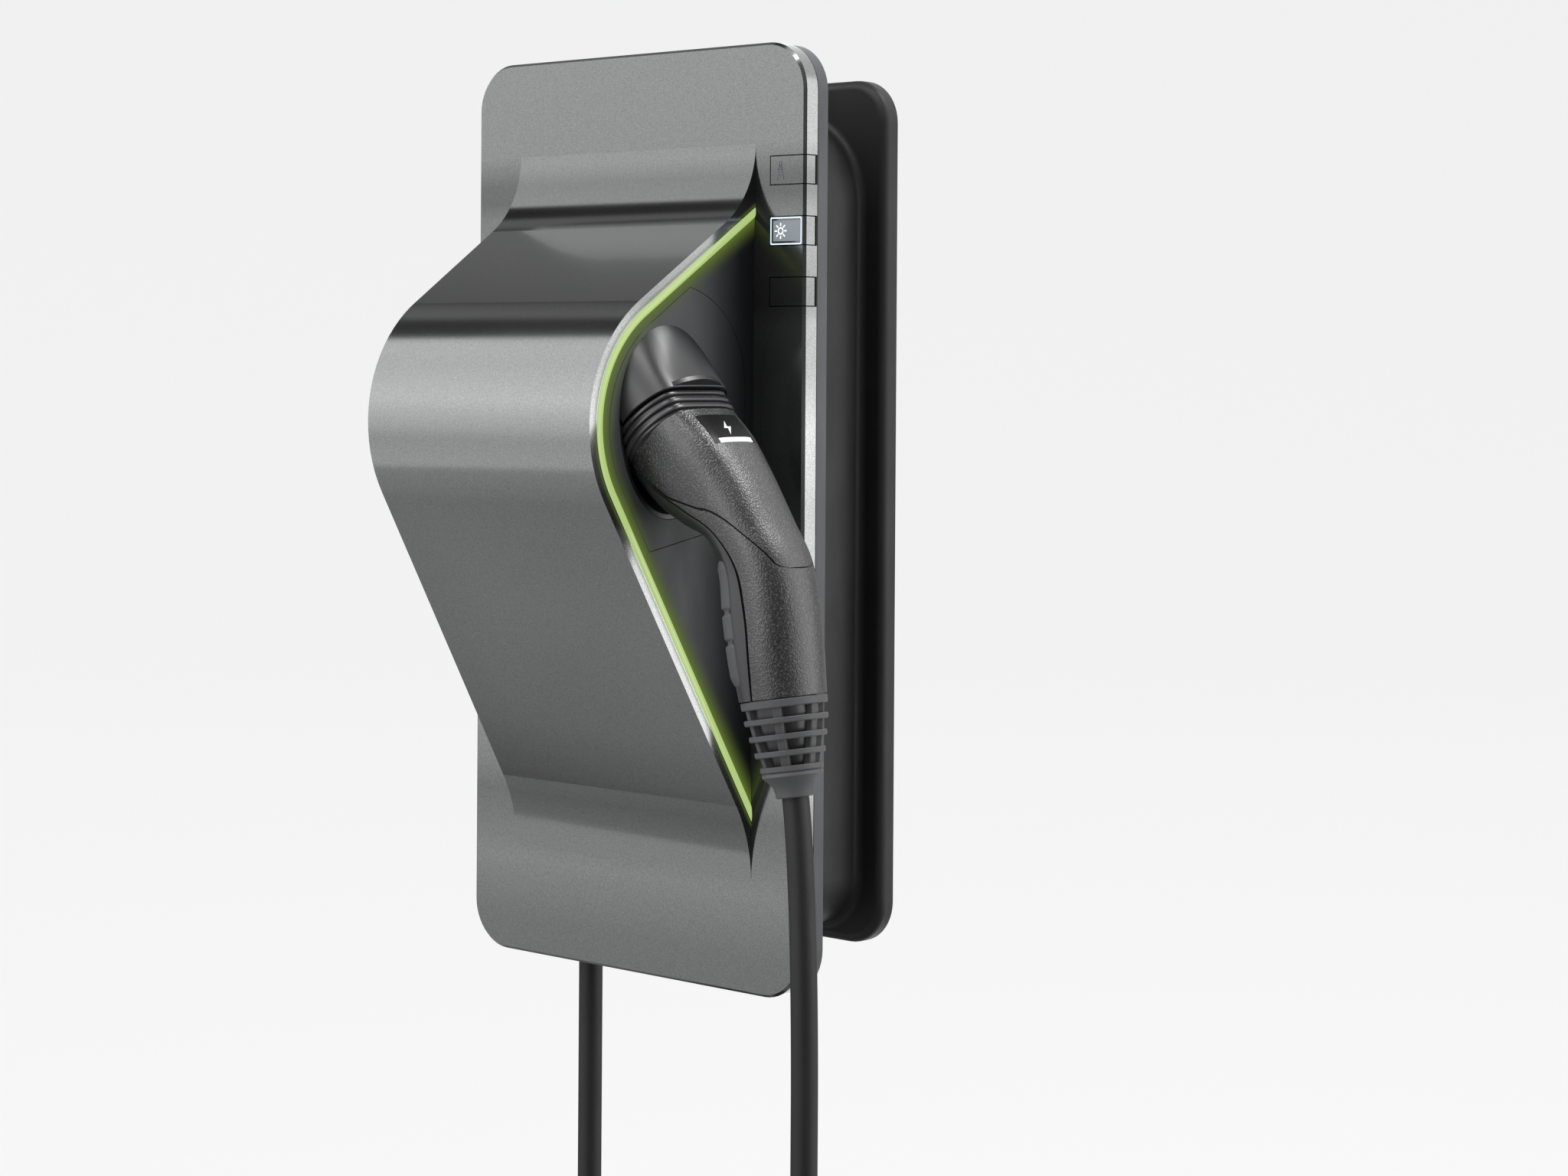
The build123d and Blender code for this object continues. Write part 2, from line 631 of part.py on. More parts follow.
# =====================================================================
# Rim frame, seal and rear housing
# =====================================================================
with BuildPart() as rim_frame:
    with BuildSketch(FRONT.offset(RIM_BACK)):
        RectangleRounded(FACE_WIDTH - 0.8, FACE_HEIGHT - 0.8, FACE_CORNER - 0.4)
        with BuildLine():
            core_outline(6)
        make_face(mode=Mode.SUBTRACT)
        with Locations(*SCREW_SPOTS):
            Circle(2.1, mode=Mode.SUBTRACT)
    extrude(amount=RIM_THICK)
save(rim_frame, "rim_frame")

with BuildPart() as cover_gasket:
    with BuildSketch(FRONT.offset(RIM_FRONT)):
        RectangleRounded(FACE_WIDTH - 1.2, FACE_HEIGHT - 1.2, FACE_CORNER - 0.6)
        inner = 1.2 + 2 * GASKET_WIDTH
        RectangleRounded(FACE_WIDTH - inner, FACE_HEIGHT - inner, FACE_CORNER - inner / 2, mode=Mode.SUBTRACT)
    extrude(amount=GASKET_THICK)
save(cover_gasket, "cover_gasket")

with BuildPart() as rear_housing:
    with BuildSketch(FRONT):
        with Locations((0, (FLANGE_TOP + FLANGE_LOW) / 2)):
            RectangleRounded(FLANGE_WIDTH, FLANGE_TOP - FLANGE_LOW, FLANGE_CORNER)
    extrude(amount=FLANGE_THICK)
    fillet(faces().sort_by(Axis.Y)[0].edges(), 5)
    with BuildSketch(FRONT):
        with BuildLine():
            core_outline()
        make_face()
    extrude(amount=RIM_BACK)
    flange_front = faces().filter_by_position(Axis.Y, -FLANGE_THICK - 0.01, -FLANGE_THICK + 0.01)
    fillet(flange_front[0].inner_wires()[0].edges(), 4.5)
    with BuildSketch(FRONT.offset(TUB_BACK)):
        with BuildLine():
            core_outline(TUB_WALL)
        make_face()
    extrude(amount=RIM_BACK, mode=Mode.SUBTRACT)
    for x, y, radius, seat in [(GLAND_X, GLAND_Y, 15, GLAND_BOSS), (SUPPLY_X, SUPPLY_Y, 16, TUB_WALL)]:
        with BuildSketch(Plane.XY.offset(CORE_LOW - 2)):
            with Locations((x, y)):
                Circle(radius)
        extrude(amount=seat + 2)
    for x, y, radius in [(GLAND_X, GLAND_Y, 10.1), (SUPPLY_X, SUPPLY_Y, 12)]:
        with BuildSketch(Plane.XY.offset(CORE_LOW - 10)):
            with Locations((x, y)):
                Circle(radius)
        extrude(amount=30, mode=Mode.SUBTRACT)
    for x in (-WALL_HOLE_X, WALL_HOLE_X):
        for z in (-WALL_HOLE_Z, WALL_HOLE_Z):
            rod(x, z, 1, -TUB_BACK - 1, WALL_HOLE_R, mode=Mode.SUBTRACT)
save(rear_housing, "rear_housing")

with BuildPart() as cover_screws:
    for x, z in SCREW_SPOTS:
        rod(x, z, -RIM_BACK, -RIM_BACK + 2.6, 3.6)
        rod(x, z, -RIM_BACK, -RIM_FRONT - 6, 1.8)
save(cover_screws, "cover_screws")

# =====================================================================
# Cable gland and supply entry in the underside
# =====================================================================
UNDERSIDE = Plane.XY.offset(CORE_LOW)


def ring(x, y, outer, inner, sides=0):
    """Ring, or nut with flat sides, drawn in the current sketch."""
    with Locations((x, y)):
        if sides:
            RegularPolygon(outer, sides)
        else:
            Circle(outer)
        Circle(inner, mode=Mode.SUBTRACT)


with BuildPart() as cable_gland:
    with BuildSketch(UNDERSIDE.offset(-8)):
        ring(GLAND_X, GLAND_Y, 14, CABLE_R + 0.3, sides=6)
    extrude(amount=5.95)
    with BuildSketch(UNDERSIDE.offset(-16)):
        ring(GLAND_X, GLAND_Y, 10, CABLE_R + 0.3)
    extrude(amount=GLAND_BOSS + 23)
    with BuildSketch(UNDERSIDE.offset(-17)):
        with Locations((GLAND_X, GLAND_Y)):
            Circle(9)
    extrude(amount=7, mode=Mode.SUBTRACT)
save(cable_gland, "cable_gland")

with BuildPart() as gland_dome_nut:
    with BuildSketch(UNDERSIDE.offset(-17)):
        ring(GLAND_X, GLAND_Y, 14, 10.1, sides=6)
    extrude(amount=8.95)
    with BuildSketch(UNDERSIDE.offset(-23)):
        ring(GLAND_X, GLAND_Y, 12, CABLE_R + 0.3)
    extrude(amount=6)
save(gland_dome_nut, "gland_dome_nut")

with BuildPart() as gland_seal:
    with BuildSketch(UNDERSIDE.offset(-16.5)):
        ring(GLAND_X, GLAND_Y, 8.9, CABLE_R + 0.05)
    extrude(amount=6)
save(gland_seal, "gland_seal")

with BuildPart() as gland_lock_nut:
    with BuildSketch(UNDERSIDE.offset(GLAND_BOSS + 0.05)):
        ring(GLAND_X, GLAND_Y, 14.5, 10.1, sides=6)
    extrude(amount=5)
save(gland_lock_nut, "gland_lock_nut")

with BuildPart() as supply_grommet:
    with BuildSketch(UNDERSIDE.offset(-5)):
        ring(SUPPLY_X, SUPPLY_Y, 15, SUPPLY_R)
    extrude(amount=2.95)
    with BuildSketch(UNDERSIDE.offset(-5)):
        ring(SUPPLY_X, SUPPLY_Y, 11.9, SUPPLY_R)
    extrude(amount=14)
save(supply_grommet, "supply_grommet")

# =====================================================================
# Buttons in the right edge, with their switches
# =====================================================================
BUTTON_NAMES = ["button_top", "button_middle", "button_bottom"]
for name, z in zip(BUTTON_NAMES, BUTTON_Z):
    low, high = z - BUTTON_HEIGHT / 2 + BUTTON_GAP, z + BUTTON_HEIGHT / 2 - BUTTON_GAP
    with BuildPart() as button:
        block((BUTTON_LEFT + BUTTON_GAP, FACE_WIDTH / 2), (-FACE_OUT, -FACE_OUT + BUTTON_WALL), (low, high))
        block((FACE_WIDTH / 2 - BUTTON_WALL, FACE_WIDTH / 2), (-FACE_OUT, -COVER_BACK - 1.8), (low, high))
        outer_edges = edges().filter_by(Axis.Z).sort_by(Axis.X)[-2:]
        chamfer(outer_edges.sort_by(Axis.Y)[0], 1.5)
        rod(112, z, -FACE_OUT + 1, -FACE_OUT + 6.3, 2.5)
        if name == "button_middle":
            opening = (-FACE_OUT - 1, -FACE_OUT + WINDOW_THICK)
            block(WINDOW_X, opening, (z - WINDOW_HALF, z + WINDOW_HALF), mode=Mode.SUBTRACT)
    save(button, name)

with BuildPart() as sun_window:
    z = BUTTON_Z[1]
    block(WINDOW_X, (-FACE_OUT, -FACE_OUT + WINDOW_THICK), (z - WINDOW_HALF, z + WINDOW_HALF))
save(sun_window, "sun_window")

with BuildPart() as button_board:
    block((104, 119), (-COVER_BACK + 0.1, -COVER_BACK + 0.9), (BUTTON_Z[2] - 12, BUTTON_Z[0] + 12))
save(button_board, "button_board")

with BuildPart() as button_switches:
    for z in BUTTON_Z:
        block((108.5, 115.5), (-COVER_BACK, -COVER_BACK - 1.8), (z - 3.5, z + 3.5))
        rod(112, z, -COVER_BACK, -COVER_BACK - 2.4, 1.6)
save(button_switches, "button_switches")

# =====================================================================
# Electronics inside the rear housing
# =====================================================================
BOARD_BACK = -32.4
BOARD_FRONT = BOARD_BACK - 1.6
STANDOFFS = [(x, z) for x in (-72, 72) for z in (-80, 130)]

with BuildPart() as main_board:
    block((-80, 80), (BOARD_BACK, BOARD_FRONT), (-92, 142))
    for x, z in STANDOFFS:
        rod(x, z, BOARD_BACK + 1, BOARD_FRONT - 1, 1.7, mode=Mode.SUBTRACT)
save(main_board, "main_board")

with BuildPart() as board_standoffs:
    for x, z in STANDOFFS:
        rod(x, z, -TUB_BACK, BOARD_BACK, 4)
        rod(x, z, -TUB_BACK - 10, BOARD_BACK - 1, 1.5, mode=Mode.SUBTRACT)
save(board_standoffs, "board_standoffs")

with BuildPart() as board_screws:
    for x, z in STANDOFFS:
        rod(x, z, BOARD_FRONT, BOARD_FRONT - 2, 3.2)
        rod(x, z, BOARD_FRONT, BOARD_BACK + 12, 1.45)
save(board_screws, "board_screws")

with BuildPart() as power_relays:
    for x in (-56, -18, 20):
        block((x, x + 31), (BOARD_FRONT, BOARD_FRONT - 25), (-70, -36))
save(power_relays, "power_relays")

with BuildPart() as power_supply:
    block((-62, 6), (BOARD_FRONT, BOARD_FRONT - 28), (76, 118))
save(power_supply, "power_supply")

with BuildPart() as capacitors:
    for x in (18, 38, 58):
        rod(x, 102, BOARD_FRONT, BOARD_FRONT - 26, 8)
save(capacitors, "capacitors")

with BuildPart() as current_sensor:
    rod(-40, 0, BOARD_FRONT, BOARD_FRONT - 18, 20)
    rod(-40, 0, BOARD_FRONT + 1, BOARD_FRONT - 19, 10, mode=Mode.SUBTRACT)
save(current_sensor, "current_sensor")

with BuildPart() as energy_meter:
    block((0, 66), (BOARD_FRONT, BOARD_FRONT - 30), (-22, 30))
save(energy_meter, "energy_meter")

with BuildPart() as radio_module:
    block((12, 44), (BOARD_FRONT, BOARD_FRONT - 3.2), (46, 66))
save(radio_module, "radio_module")

with BuildPart() as terminal_block:
    block((-62, 66), (-TUB_BACK, -TUB_BACK - 32), (-146, -118))
    for x in range(-50, 60, 16):
        rod(x + 4, -132, -TUB_BACK - 26, -TUB_BACK - 33, 4.2, mode=Mode.SUBTRACT)
save(terminal_block, "terminal_block")

with BuildPart() as terminal_screws:
    for x in range(-50, 60, 16):
        rod(x + 4, -132, -TUB_BACK - 26, -TUB_BACK - 30, 4.0)
save(terminal_screws, "terminal_screws")

with BuildPart() as lead_wires:
    for i in range(5):
        angle = radians(72 * i)
        low = Vector(GLAND_X + 4 * cos(angle), GLAND_Y + 4 * sin(angle), -204.9)
        high = Vector(-46 + 16 * i, -22, -146.1)
        with BuildLine() as lead:
            Spline(low, high, tangents=((0, 0, 1), (0, 0, 1)))
        with BuildSketch(Plane(origin=low, z_dir=(0, 0, 1))):
            Circle(1.5)
        sweep(path=lead.wires()[0])
save(lead_wires, "lead_wires")
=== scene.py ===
import json
import math

import bmesh
import bpy
from mathutils import Matrix, Vector


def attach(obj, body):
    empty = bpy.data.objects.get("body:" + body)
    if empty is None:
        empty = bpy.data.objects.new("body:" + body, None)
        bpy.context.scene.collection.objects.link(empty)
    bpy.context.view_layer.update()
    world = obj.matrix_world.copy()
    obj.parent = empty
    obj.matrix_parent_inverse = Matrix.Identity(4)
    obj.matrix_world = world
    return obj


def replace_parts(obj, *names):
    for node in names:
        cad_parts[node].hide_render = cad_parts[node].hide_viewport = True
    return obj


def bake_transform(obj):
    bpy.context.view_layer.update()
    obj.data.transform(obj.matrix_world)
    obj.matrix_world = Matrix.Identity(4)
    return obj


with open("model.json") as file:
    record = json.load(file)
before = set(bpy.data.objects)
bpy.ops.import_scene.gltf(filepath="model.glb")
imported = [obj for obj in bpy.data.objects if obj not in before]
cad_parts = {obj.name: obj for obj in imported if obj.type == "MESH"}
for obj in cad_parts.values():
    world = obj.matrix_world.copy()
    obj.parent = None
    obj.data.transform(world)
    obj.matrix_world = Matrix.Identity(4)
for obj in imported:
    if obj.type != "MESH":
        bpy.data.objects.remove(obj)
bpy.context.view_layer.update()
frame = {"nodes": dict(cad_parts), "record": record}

MM = 0.001
FACE_Y = -95.0  # front face, in millimetres from the wall
CHEEK_X = 93.7  # right side of the bulge where it meets the face
CHEEK_DRAFT = math.tan(math.radians(2.6))
NOISE_RANGE = (0.3, 0.7)  # where the values of a noise mostly lie


# ---------------------------------------------------------------- node helpers
def multiplied(tree, first, second):
    """Product of two colour outputs."""
    mix = tree.nodes.new("ShaderNodeMix")
    mix.data_type = "RGBA"
    mix.blend_type = "MULTIPLY"
    mix.inputs["Factor"].default_value = 1
    tree.links.new(first, mix.inputs["A"])
    tree.links.new(second, mix.inputs["B"])
    return mix.outputs["Result"]


def grey_ramp(tree, source, stops, blue=1.0):
    """Grey that follows a value through (value, grey) stops; blue scales its blue part."""
    low, high = stops[0][0], stops[-1][0]
    lift = tree.nodes.new("ShaderNodeMapRange")
    lift.inputs["From Min"].default_value = low
    lift.inputs["From Max"].default_value = high
    node = tree.nodes.new("ShaderNodeValToRGB")
    for place, _ in stops[1:-1]:
        node.color_ramp.elements.new((place - low) / (high - low))
    for element, (place, grey) in zip(node.color_ramp.elements, stops):
        element.position = (place - low) / (high - low)
        element.color = (grey, grey, grey * blue, 1)
    tree.links.new(source, lift.inputs["Value"])
    tree.links.new(lift.outputs["Result"], node.inputs["Fac"])
    return node.outputs["Color"]


class Nodes:
    """Small helper that builds a procedural material."""

    def __init__(self, name):
        self.material = bpy.data.materials.new(name)
        self.material.use_nodes = True
        self.tree = self.material.node_tree
        self.shader = self.tree.nodes["Principled BSDF"]
        self.coords = self.tree.nodes.new("ShaderNodeTexCoord")

    def link(self, source, target):
        self.tree.links.new(source, target)

    def noise(self, scale, detail=4.0, stretch=None, seed=0.0):
        """Noise in object space. stretch squeezes it along each axis."""
        mapping = self.tree.nodes.new("ShaderNodeMapping")
        mapping.inputs["Location"].default_value = (seed, seed * 1.7, -seed)
        mapping.inputs["Scale"].default_value = stretch or (1, 1, 1)
        self.link(self.coords.outputs["Object"], mapping.inputs["Vector"])
        noise = self.tree.nodes.new("ShaderNodeTexNoise")
        noise.inputs["Scale"].default_value = scale
        noise.inputs["Detail"].default_value = detail
        self.link(mapping.outputs["Vector"], noise.inputs["Vector"])
        return noise.outputs["Fac"]

    def cells(self, scale):
        """Distance to the nearest cell point, for grains and flakes."""
        cells = self.tree.nodes.new("ShaderNodeTexVoronoi")
        cells.inputs["Scale"].default_value = scale
        self.link(self.coords.outputs["Object"], cells.inputs["Vector"])
        return cells.outputs["Distance"]

    def part(self, source, axis):
        """One coordinate of a vector output."""
        split = self.tree.nodes.new("ShaderNodeSeparateXYZ")
        self.link(source, split.inputs["Vector"])
        return split.outputs[axis]

    def spread(self, source, low, high, start=NOISE_RANGE[0], end=NOISE_RANGE[1]):
        """Map a value between start and end to the range low..high."""
        ramp = self.tree.nodes.new("ShaderNodeMapRange")
        ramp.inputs["From Min"].default_value = start
        ramp.inputs["From Max"].default_value = end
        ramp.inputs["To Min"].default_value = low
        ramp.inputs["To Max"].default_value = high
        self.link(source, ramp.inputs["Value"])
        return ramp.outputs["Result"]

    def blend(self, factor, first, second):
        """Mix between two colours, given as numbers or as outputs, by a 0..1 value."""
        mix = self.tree.nodes.new("ShaderNodeMix")
        mix.data_type = "RGBA"
        for name, color in (("A", first), ("B", second)):
            if isinstance(color, tuple):
                mix.inputs[name].default_value = (*color, 1)
            else:
                self.link(color, mix.inputs[name])
        self.link(factor, mix.inputs["Factor"])
        return mix.outputs["Result"]

    def total(self, first, second):
        """Sum of two values."""
        add = self.tree.nodes.new("ShaderNodeMath")
        self.link(first, add.inputs[0])
        self.link(second, add.inputs[1])
        return add.outputs["Value"]

    def geometry(self, kind):
        """Position or Normal of the point in the room."""
        return self.tree.nodes.new("ShaderNodeNewGeometry").outputs[kind]

    def ray(self, kind):
        """1 for one kind of ray, such as Is Camera Ray, and 0 for all others."""
        return self.tree.nodes.new("ShaderNodeLightPath").outputs[kind]

    def bump(self, height, depth, strength=1.0):
        """Bump of the given depth in metres, chained onto earlier bumps."""
        bump = self.tree.nodes.new("ShaderNodeBump")
        bump.inputs["Distance"].default_value = depth
        bump.inputs["Strength"].default_value = strength
        self.link(height, bump.inputs["Height"])
        normal = self.shader.inputs["Normal"]
        if normal.links:
            self.link(normal.links[0].from_socket, bump.inputs["Normal"])
        self.link(bump.outputs["Normal"], normal)


def scaled(color, factor):
    return tuple(min(1.0, c * factor) for c in color)


def plastic(name, color, rough, grain=0.0, grain_scale=900.0, specks=0.0, gloss=0.5):
    """Moulded plastic or rubber: slight colour drift, uneven gloss, handling marks and optional grain."""
    m = Nodes(name)
    drift = m.noise(14.0, 5.0, seed=len(name))
    tint = m.blend(m.spread(drift, 0, 1), scaled(color, 0.82), scaled(color, 1.18))
    if specks:
        tint = m.blend(m.spread(m.noise(grain_scale, 2.0, seed=5.0), 0, 1, 0.52, 0.70), tint, (specks,) * 3)
    marks = m.noise(60.0, 8.0, stretch=(1, 1, 0.35), seed=2.0 + len(name))
    m.link(tint, m.shader.inputs["Base Color"])
    m.link(m.spread(marks, rough - 0.06, rough + 0.08), m.shader.inputs["Roughness"])
    m.shader.inputs["Specular IOR Level"].default_value = gloss
    m.bump(m.noise(350.0, 3.0), 0.00004, 0.5)
    if grain:
        m.bump(m.noise(grain_scale, 2.0, seed=5.0), grain)
    return m.material


def plastic_with_painted_shade(name, dark, light, rough):
    """Plastic of the cheeks with painted shade: darker towards the front face, paler towards the nose of the
    bulge.
    """
    m = Nodes(name)
    depth = m.part(m.coords.outputs["Object"], "Y")
    patchy = m.blend(m.spread(m.noise(14.0, 5.0), 0, 1), scaled(light, 0.85), scaled(light, 1.15))
    marks = m.noise(60.0, 8.0, stretch=(1, 1, 0.35))
    # painted shade: the dark colour near the front face fades to the paler colour towards the nose
    m.link(m.blend(m.spread(depth, 1, 0, -0.20, -0.105), dark, patchy), m.shader.inputs["Base Color"])
    m.link(m.spread(marks, rough - 0.05, rough + 0.07), m.shader.inputs["Roughness"])
    m.shader.inputs["Specular IOR Level"].default_value = 0.35
    m.bump(m.noise(900.0, 3.0), 0.00003, 0.6)
    return m.material


# (height in metres, brightness) of the painted shade on the cover, from its lower to its upper edge: darker
# and lighter bands that stand in for shade and reflections
COVER_PAINTED_SHADE = [
    (-0.262, 0.54), (-0.240, 0.58), (-0.205, 0.80), (-0.182, 0.62), (-0.166, 0.52), (-0.150, 0.72),
    (-0.119, 0.88), (-0.052, 0.90), (0.008, 0.80), (0.020, 0.92), (0.050, 1.00), (0.083, 0.66),
    (0.106, 0.66), (0.118, 0.42), (0.135, 0.48), (0.152, 0.54), (0.168, 0.50), (0.178, 0.34),
    (0.188, 0.35), (0.206, 0.64), (0.262, 0.63),
]


def paint(name, color, shade=None):
    """Metallic car paint with fine flakes, soft orange peel and a clear coat; a shade list adds painted shade
    by height.
    """
    m = Nodes(name)
    flakes = m.cells(2600.0)
    cloud = m.noise(6.0, 3.0)
    tint = m.blend(m.spread(flakes, 0, 1, 0.05, 0.6), scaled(color, 1.35), scaled(color, 0.72))
    # painted shade: the colour is darkened band by band along the height
    if shade:
        tint = multiplied(m.tree, tint, grey_ramp(m.tree, m.part(m.geometry("Position"), "Z"), shade))
    m.link(tint, m.shader.inputs["Base Color"])
    m.link(m.spread(cloud, 0.12, 0.17), m.shader.inputs["Roughness"])
    m.shader.inputs["Metallic"].default_value = 0.94
    m.shader.inputs["Coat Weight"].default_value = 0.45
    m.shader.inputs["Coat Roughness"].default_value = 0.05
    m.bump(m.noise(1400.0, 2.0), 0.00003, 0.35)
    m.bump(m.noise(90.0, 2.0, seed=3.0), 0.00001, 0.4)
    return m.material


def metal(name, color, rough):
    """Plated metal with brushed streaks."""
    m = Nodes(name)
    streak = m.noise(400.0, 4.0, stretch=(1, 1, 0.08))
    tint = m.blend(m.spread(streak, 0, 1), scaled(color, 0.8), scaled(color, 1.1))
    m.link(tint, m.shader.inputs["Base Color"])
    m.link(m.spread(streak, rough - 0.08, rough + 0.12), m.shader.inputs["Roughness"])
    m.shader.inputs["Metallic"].default_value = 1.0
    m.bump(streak, 0.00003)
    return m.material


def glowing(name, color, strength):
    """Lit translucent plastic with a slightly uneven glow."""
    m = Nodes(name)
    uneven = m.noise(40.0, 2.0)
    m.link(m.blend(m.spread(uneven, 0, 1), scaled(color, 0.85), color), m.shader.inputs["Emission Color"])
    m.shader.inputs["Base Color"].default_value = (*scaled(color, 0.6), 1)
    m.shader.inputs["Emission Strength"].default_value = strength
    m.shader.inputs["Roughness"].default_value = 0.3
    m.bump(m.noise(500.0, 2.0), 0.00002, 0.4)
    return m.material


def light_guide(name):
    """Green light guide: pale core, deeper green towards its edges, and a glow on what is near it."""
    m = Nodes(name)
    facing = m.spread(m.part(m.geometry("Normal"), "X"), 0, 1, 0.15, 0.97)
    m.link(m.blend(facing, (0.10, 0.165, 0.012), (0.50, 0.66, 0.24)), m.shader.inputs["Emission Color"])
    seen = m.spread(m.ray("Is Camera Ray"), 0, 0.85, 0, 1)
    spill = m.spread(m.ray("Is Diffuse Ray"), 0, 2.6, 0, 1)
    m.link(m.total(seen, spill), m.shader.inputs["Emission Strength"])
    m.shader.inputs["Base Color"].default_value = (0.03, 0.05, 0.01, 1)
    m.shader.inputs["Roughness"].default_value = 0.15
    m.bump(m.noise(500.0, 2.0), 0.00002, 0.4)
    return m.material


def painted_strip_glow(name):
    """Painted glow: green light of the strip painted on a clear film, fading with the mesh's fade value."""
    material = bpy.data.materials.new(name)
    material.use_nodes = True
    tree = material.node_tree
    tree.nodes.clear()
    fade = tree.nodes.new("ShaderNodeAttribute")
    fade.attribute_name = "fade"
    clear = tree.nodes.new("ShaderNodeBsdfTransparent")
    glow = tree.nodes.new("ShaderNodeEmission")
    glow.inputs["Color"].default_value = (0.15, 0.215, 0.04, 1)
    mix = tree.nodes.new("ShaderNodeMixShader")
    out = tree.nodes.new("ShaderNodeOutputMaterial")
    tree.links.new(fade.outputs["Fac"], mix.inputs["Fac"])
    tree.links.new(clear.outputs["BSDF"], mix.inputs[1])
    tree.links.new(glow.outputs["Emission"], mix.inputs[2])
    tree.links.new(mix.outputs["Shader"], out.inputs["Surface"])
    return material


LOOKS = {
    # cover paint with painted shade by height
    "cover_paint": paint("cover_paint", (0.395, 0.405, 0.396), shade=COVER_PAINTED_SHADE),
    "symbol_grey": paint("symbol_grey", (0.16, 0.165, 0.17)),
    "steel": metal("steel", (0.6, 0.6, 0.6), 0.32),
    "contact_silver": metal("contact_silver", (0.8, 0.8, 0.77), 0.25),
    "green_light": light_guide("green_light"),
    "painted_strip_glow": painted_strip_glow("painted_strip_glow"),
    # cheek plastic with painted shade, darker towards the front face
    "cheek_plastic": plastic_with_painted_shade("cheek_plastic", (0.004, 0.005, 0.006), (0.072, 0.074, 0.078), 0.42),
}
PLASTICS = {
    "rim_plastic": dict(color=(0.060, 0.064, 0.070), rough=0.42, grain=0.00003),
    "housing_plastic": dict(color=(0.017, 0.017, 0.018), rough=0.48, grain=0.00003, gloss=0.35),
    "dock_plastic": dict(color=(0.007, 0.0075, 0.009), rough=0.38, grain=0.00001, gloss=0.8),
    "plug_plastic": dict(color=(0.009, 0.009, 0.010), rough=0.33, grain=0.0003, grain_scale=1000.0,
                         specks=0.07, gloss=1.0),
    "plug_smooth": dict(color=(0.022, 0.022, 0.024), rough=0.30, grain=0.00002, gloss=0.8),
    "soft_grey": dict(color=(0.075, 0.076, 0.078), rough=0.55, grain=0.00004),
    "seal_rubber": dict(color=(0.012, 0.012, 0.012), rough=0.7),
    "cable_rubber": dict(color=(0.008, 0.008, 0.0085), rough=0.55, grain=0.00005, grain_scale=700.0),
    "board_green": dict(color=(0.015, 0.11, 0.04), rough=0.4),
    "component_dark": dict(color=(0.03, 0.03, 0.033), rough=0.5),
    "component_pale": dict(color=(0.55, 0.55, 0.52), rough=0.5),
    "wire_cover": dict(color=(0.12, 0.05, 0.02), rough=0.4),
    "badge_black": dict(color=(0.002, 0.002, 0.002), rough=0.30, gloss=0.15),
}
LIT = {
    "white_soft": ((0.85, 0.87, 0.9), 0.45),
    "window": ((0.30, 0.34, 0.38), 0.30),
    "button_glow": ((0.70, 0.80, 0.95), 0.75),
    "white_symbol": ((1.0, 1.0, 1.0), 1.3),
    "white_light": ((0.92, 0.96, 1.0), 0.9),
}
LOOKS.update({name: plastic(name, **look) for name, look in PLASTICS.items()})
LOOKS.update({name: glowing(name, *look) for name, look in LIT.items()})


# ---------------------------------------------------------------- mesh helpers
SHARP_ANGLE = math.radians(32)
WELD_DISTANCE = 0.002


def smooth_group():
    """Geometry nodes that shade smooth and keep edges sharper than SHARP_ANGLE."""
    group = bpy.data.node_groups.new("smooth_by_angle", "GeometryNodeTree")
    group.interface.new_socket("Geometry", in_out="INPUT", socket_type="NodeSocketGeometry")
    group.interface.new_socket("Geometry", in_out="OUTPUT", socket_type="NodeSocketGeometry")
    start = group.nodes.new("NodeGroupInput")
    end = group.nodes.new("NodeGroupOutput")
    angle = group.nodes.new("GeometryNodeInputMeshEdgeAngle")
    compare = group.nodes.new("FunctionNodeCompare")
    compare.data_type = "FLOAT"
    compare.operation = "LESS_THAN"
    compare.inputs["B"].default_value = SHARP_ANGLE
    edges = group.nodes.new("GeometryNodeSetShadeSmooth")
    edges.domain = "EDGE"
    faces = group.nodes.new("GeometryNodeSetShadeSmooth")
    faces.domain = "FACE"
    group.links.new(angle.outputs["Unsigned Angle"], compare.inputs["A"])
    group.links.new(start.outputs[0], faces.inputs["Geometry"])
    group.links.new(faces.outputs["Geometry"], edges.inputs["Geometry"])
    group.links.new(compare.outputs["Result"], edges.inputs["Shade Smooth"])
    group.links.new(edges.outputs["Geometry"], end.inputs[0])
    return group


SMOOTH = smooth_group()


def add_smooth(obj):
    """Smooth shading that keeps sharp edges."""
    modifier = obj.modifiers.new("smooth", "NODES")
    modifier.node_group = SMOOTH


def add_bevel(obj, width):
    """Rounding of the sharp edges, width in millimetres."""
    bevel = obj.modifiers.new("edge rounding", "BEVEL")
    bevel.width = width * MM
    bevel.segments = 3
    bevel.limit_method = "ANGLE"
    bevel.angle_limit = math.radians(40)
    bevel.harden_normals = False


def new_object(name, verts, faces, look, body="housing", smooth=True):
    """Object from points in millimetres, with a look, riding on a body."""
    mesh = bpy.data.meshes.new(name)
    mesh.from_pydata([Vector(v) * MM for v in verts], [], faces)
    clean = bmesh.new()
    clean.from_mesh(mesh)
    bmesh.ops.remove_doubles(clean, verts=clean.verts, dist=WELD_DISTANCE * MM)
    bmesh.ops.recalc_face_normals(clean, faces=clean.faces)
    clean.to_mesh(mesh)
    clean.free()
    obj = bpy.data.objects.new(name, mesh)
    bpy.context.scene.collection.objects.link(obj)
    mesh.materials.append(LOOKS[look])
    if smooth:
        add_smooth(obj)
    if body:
        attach(obj, body)
    return obj


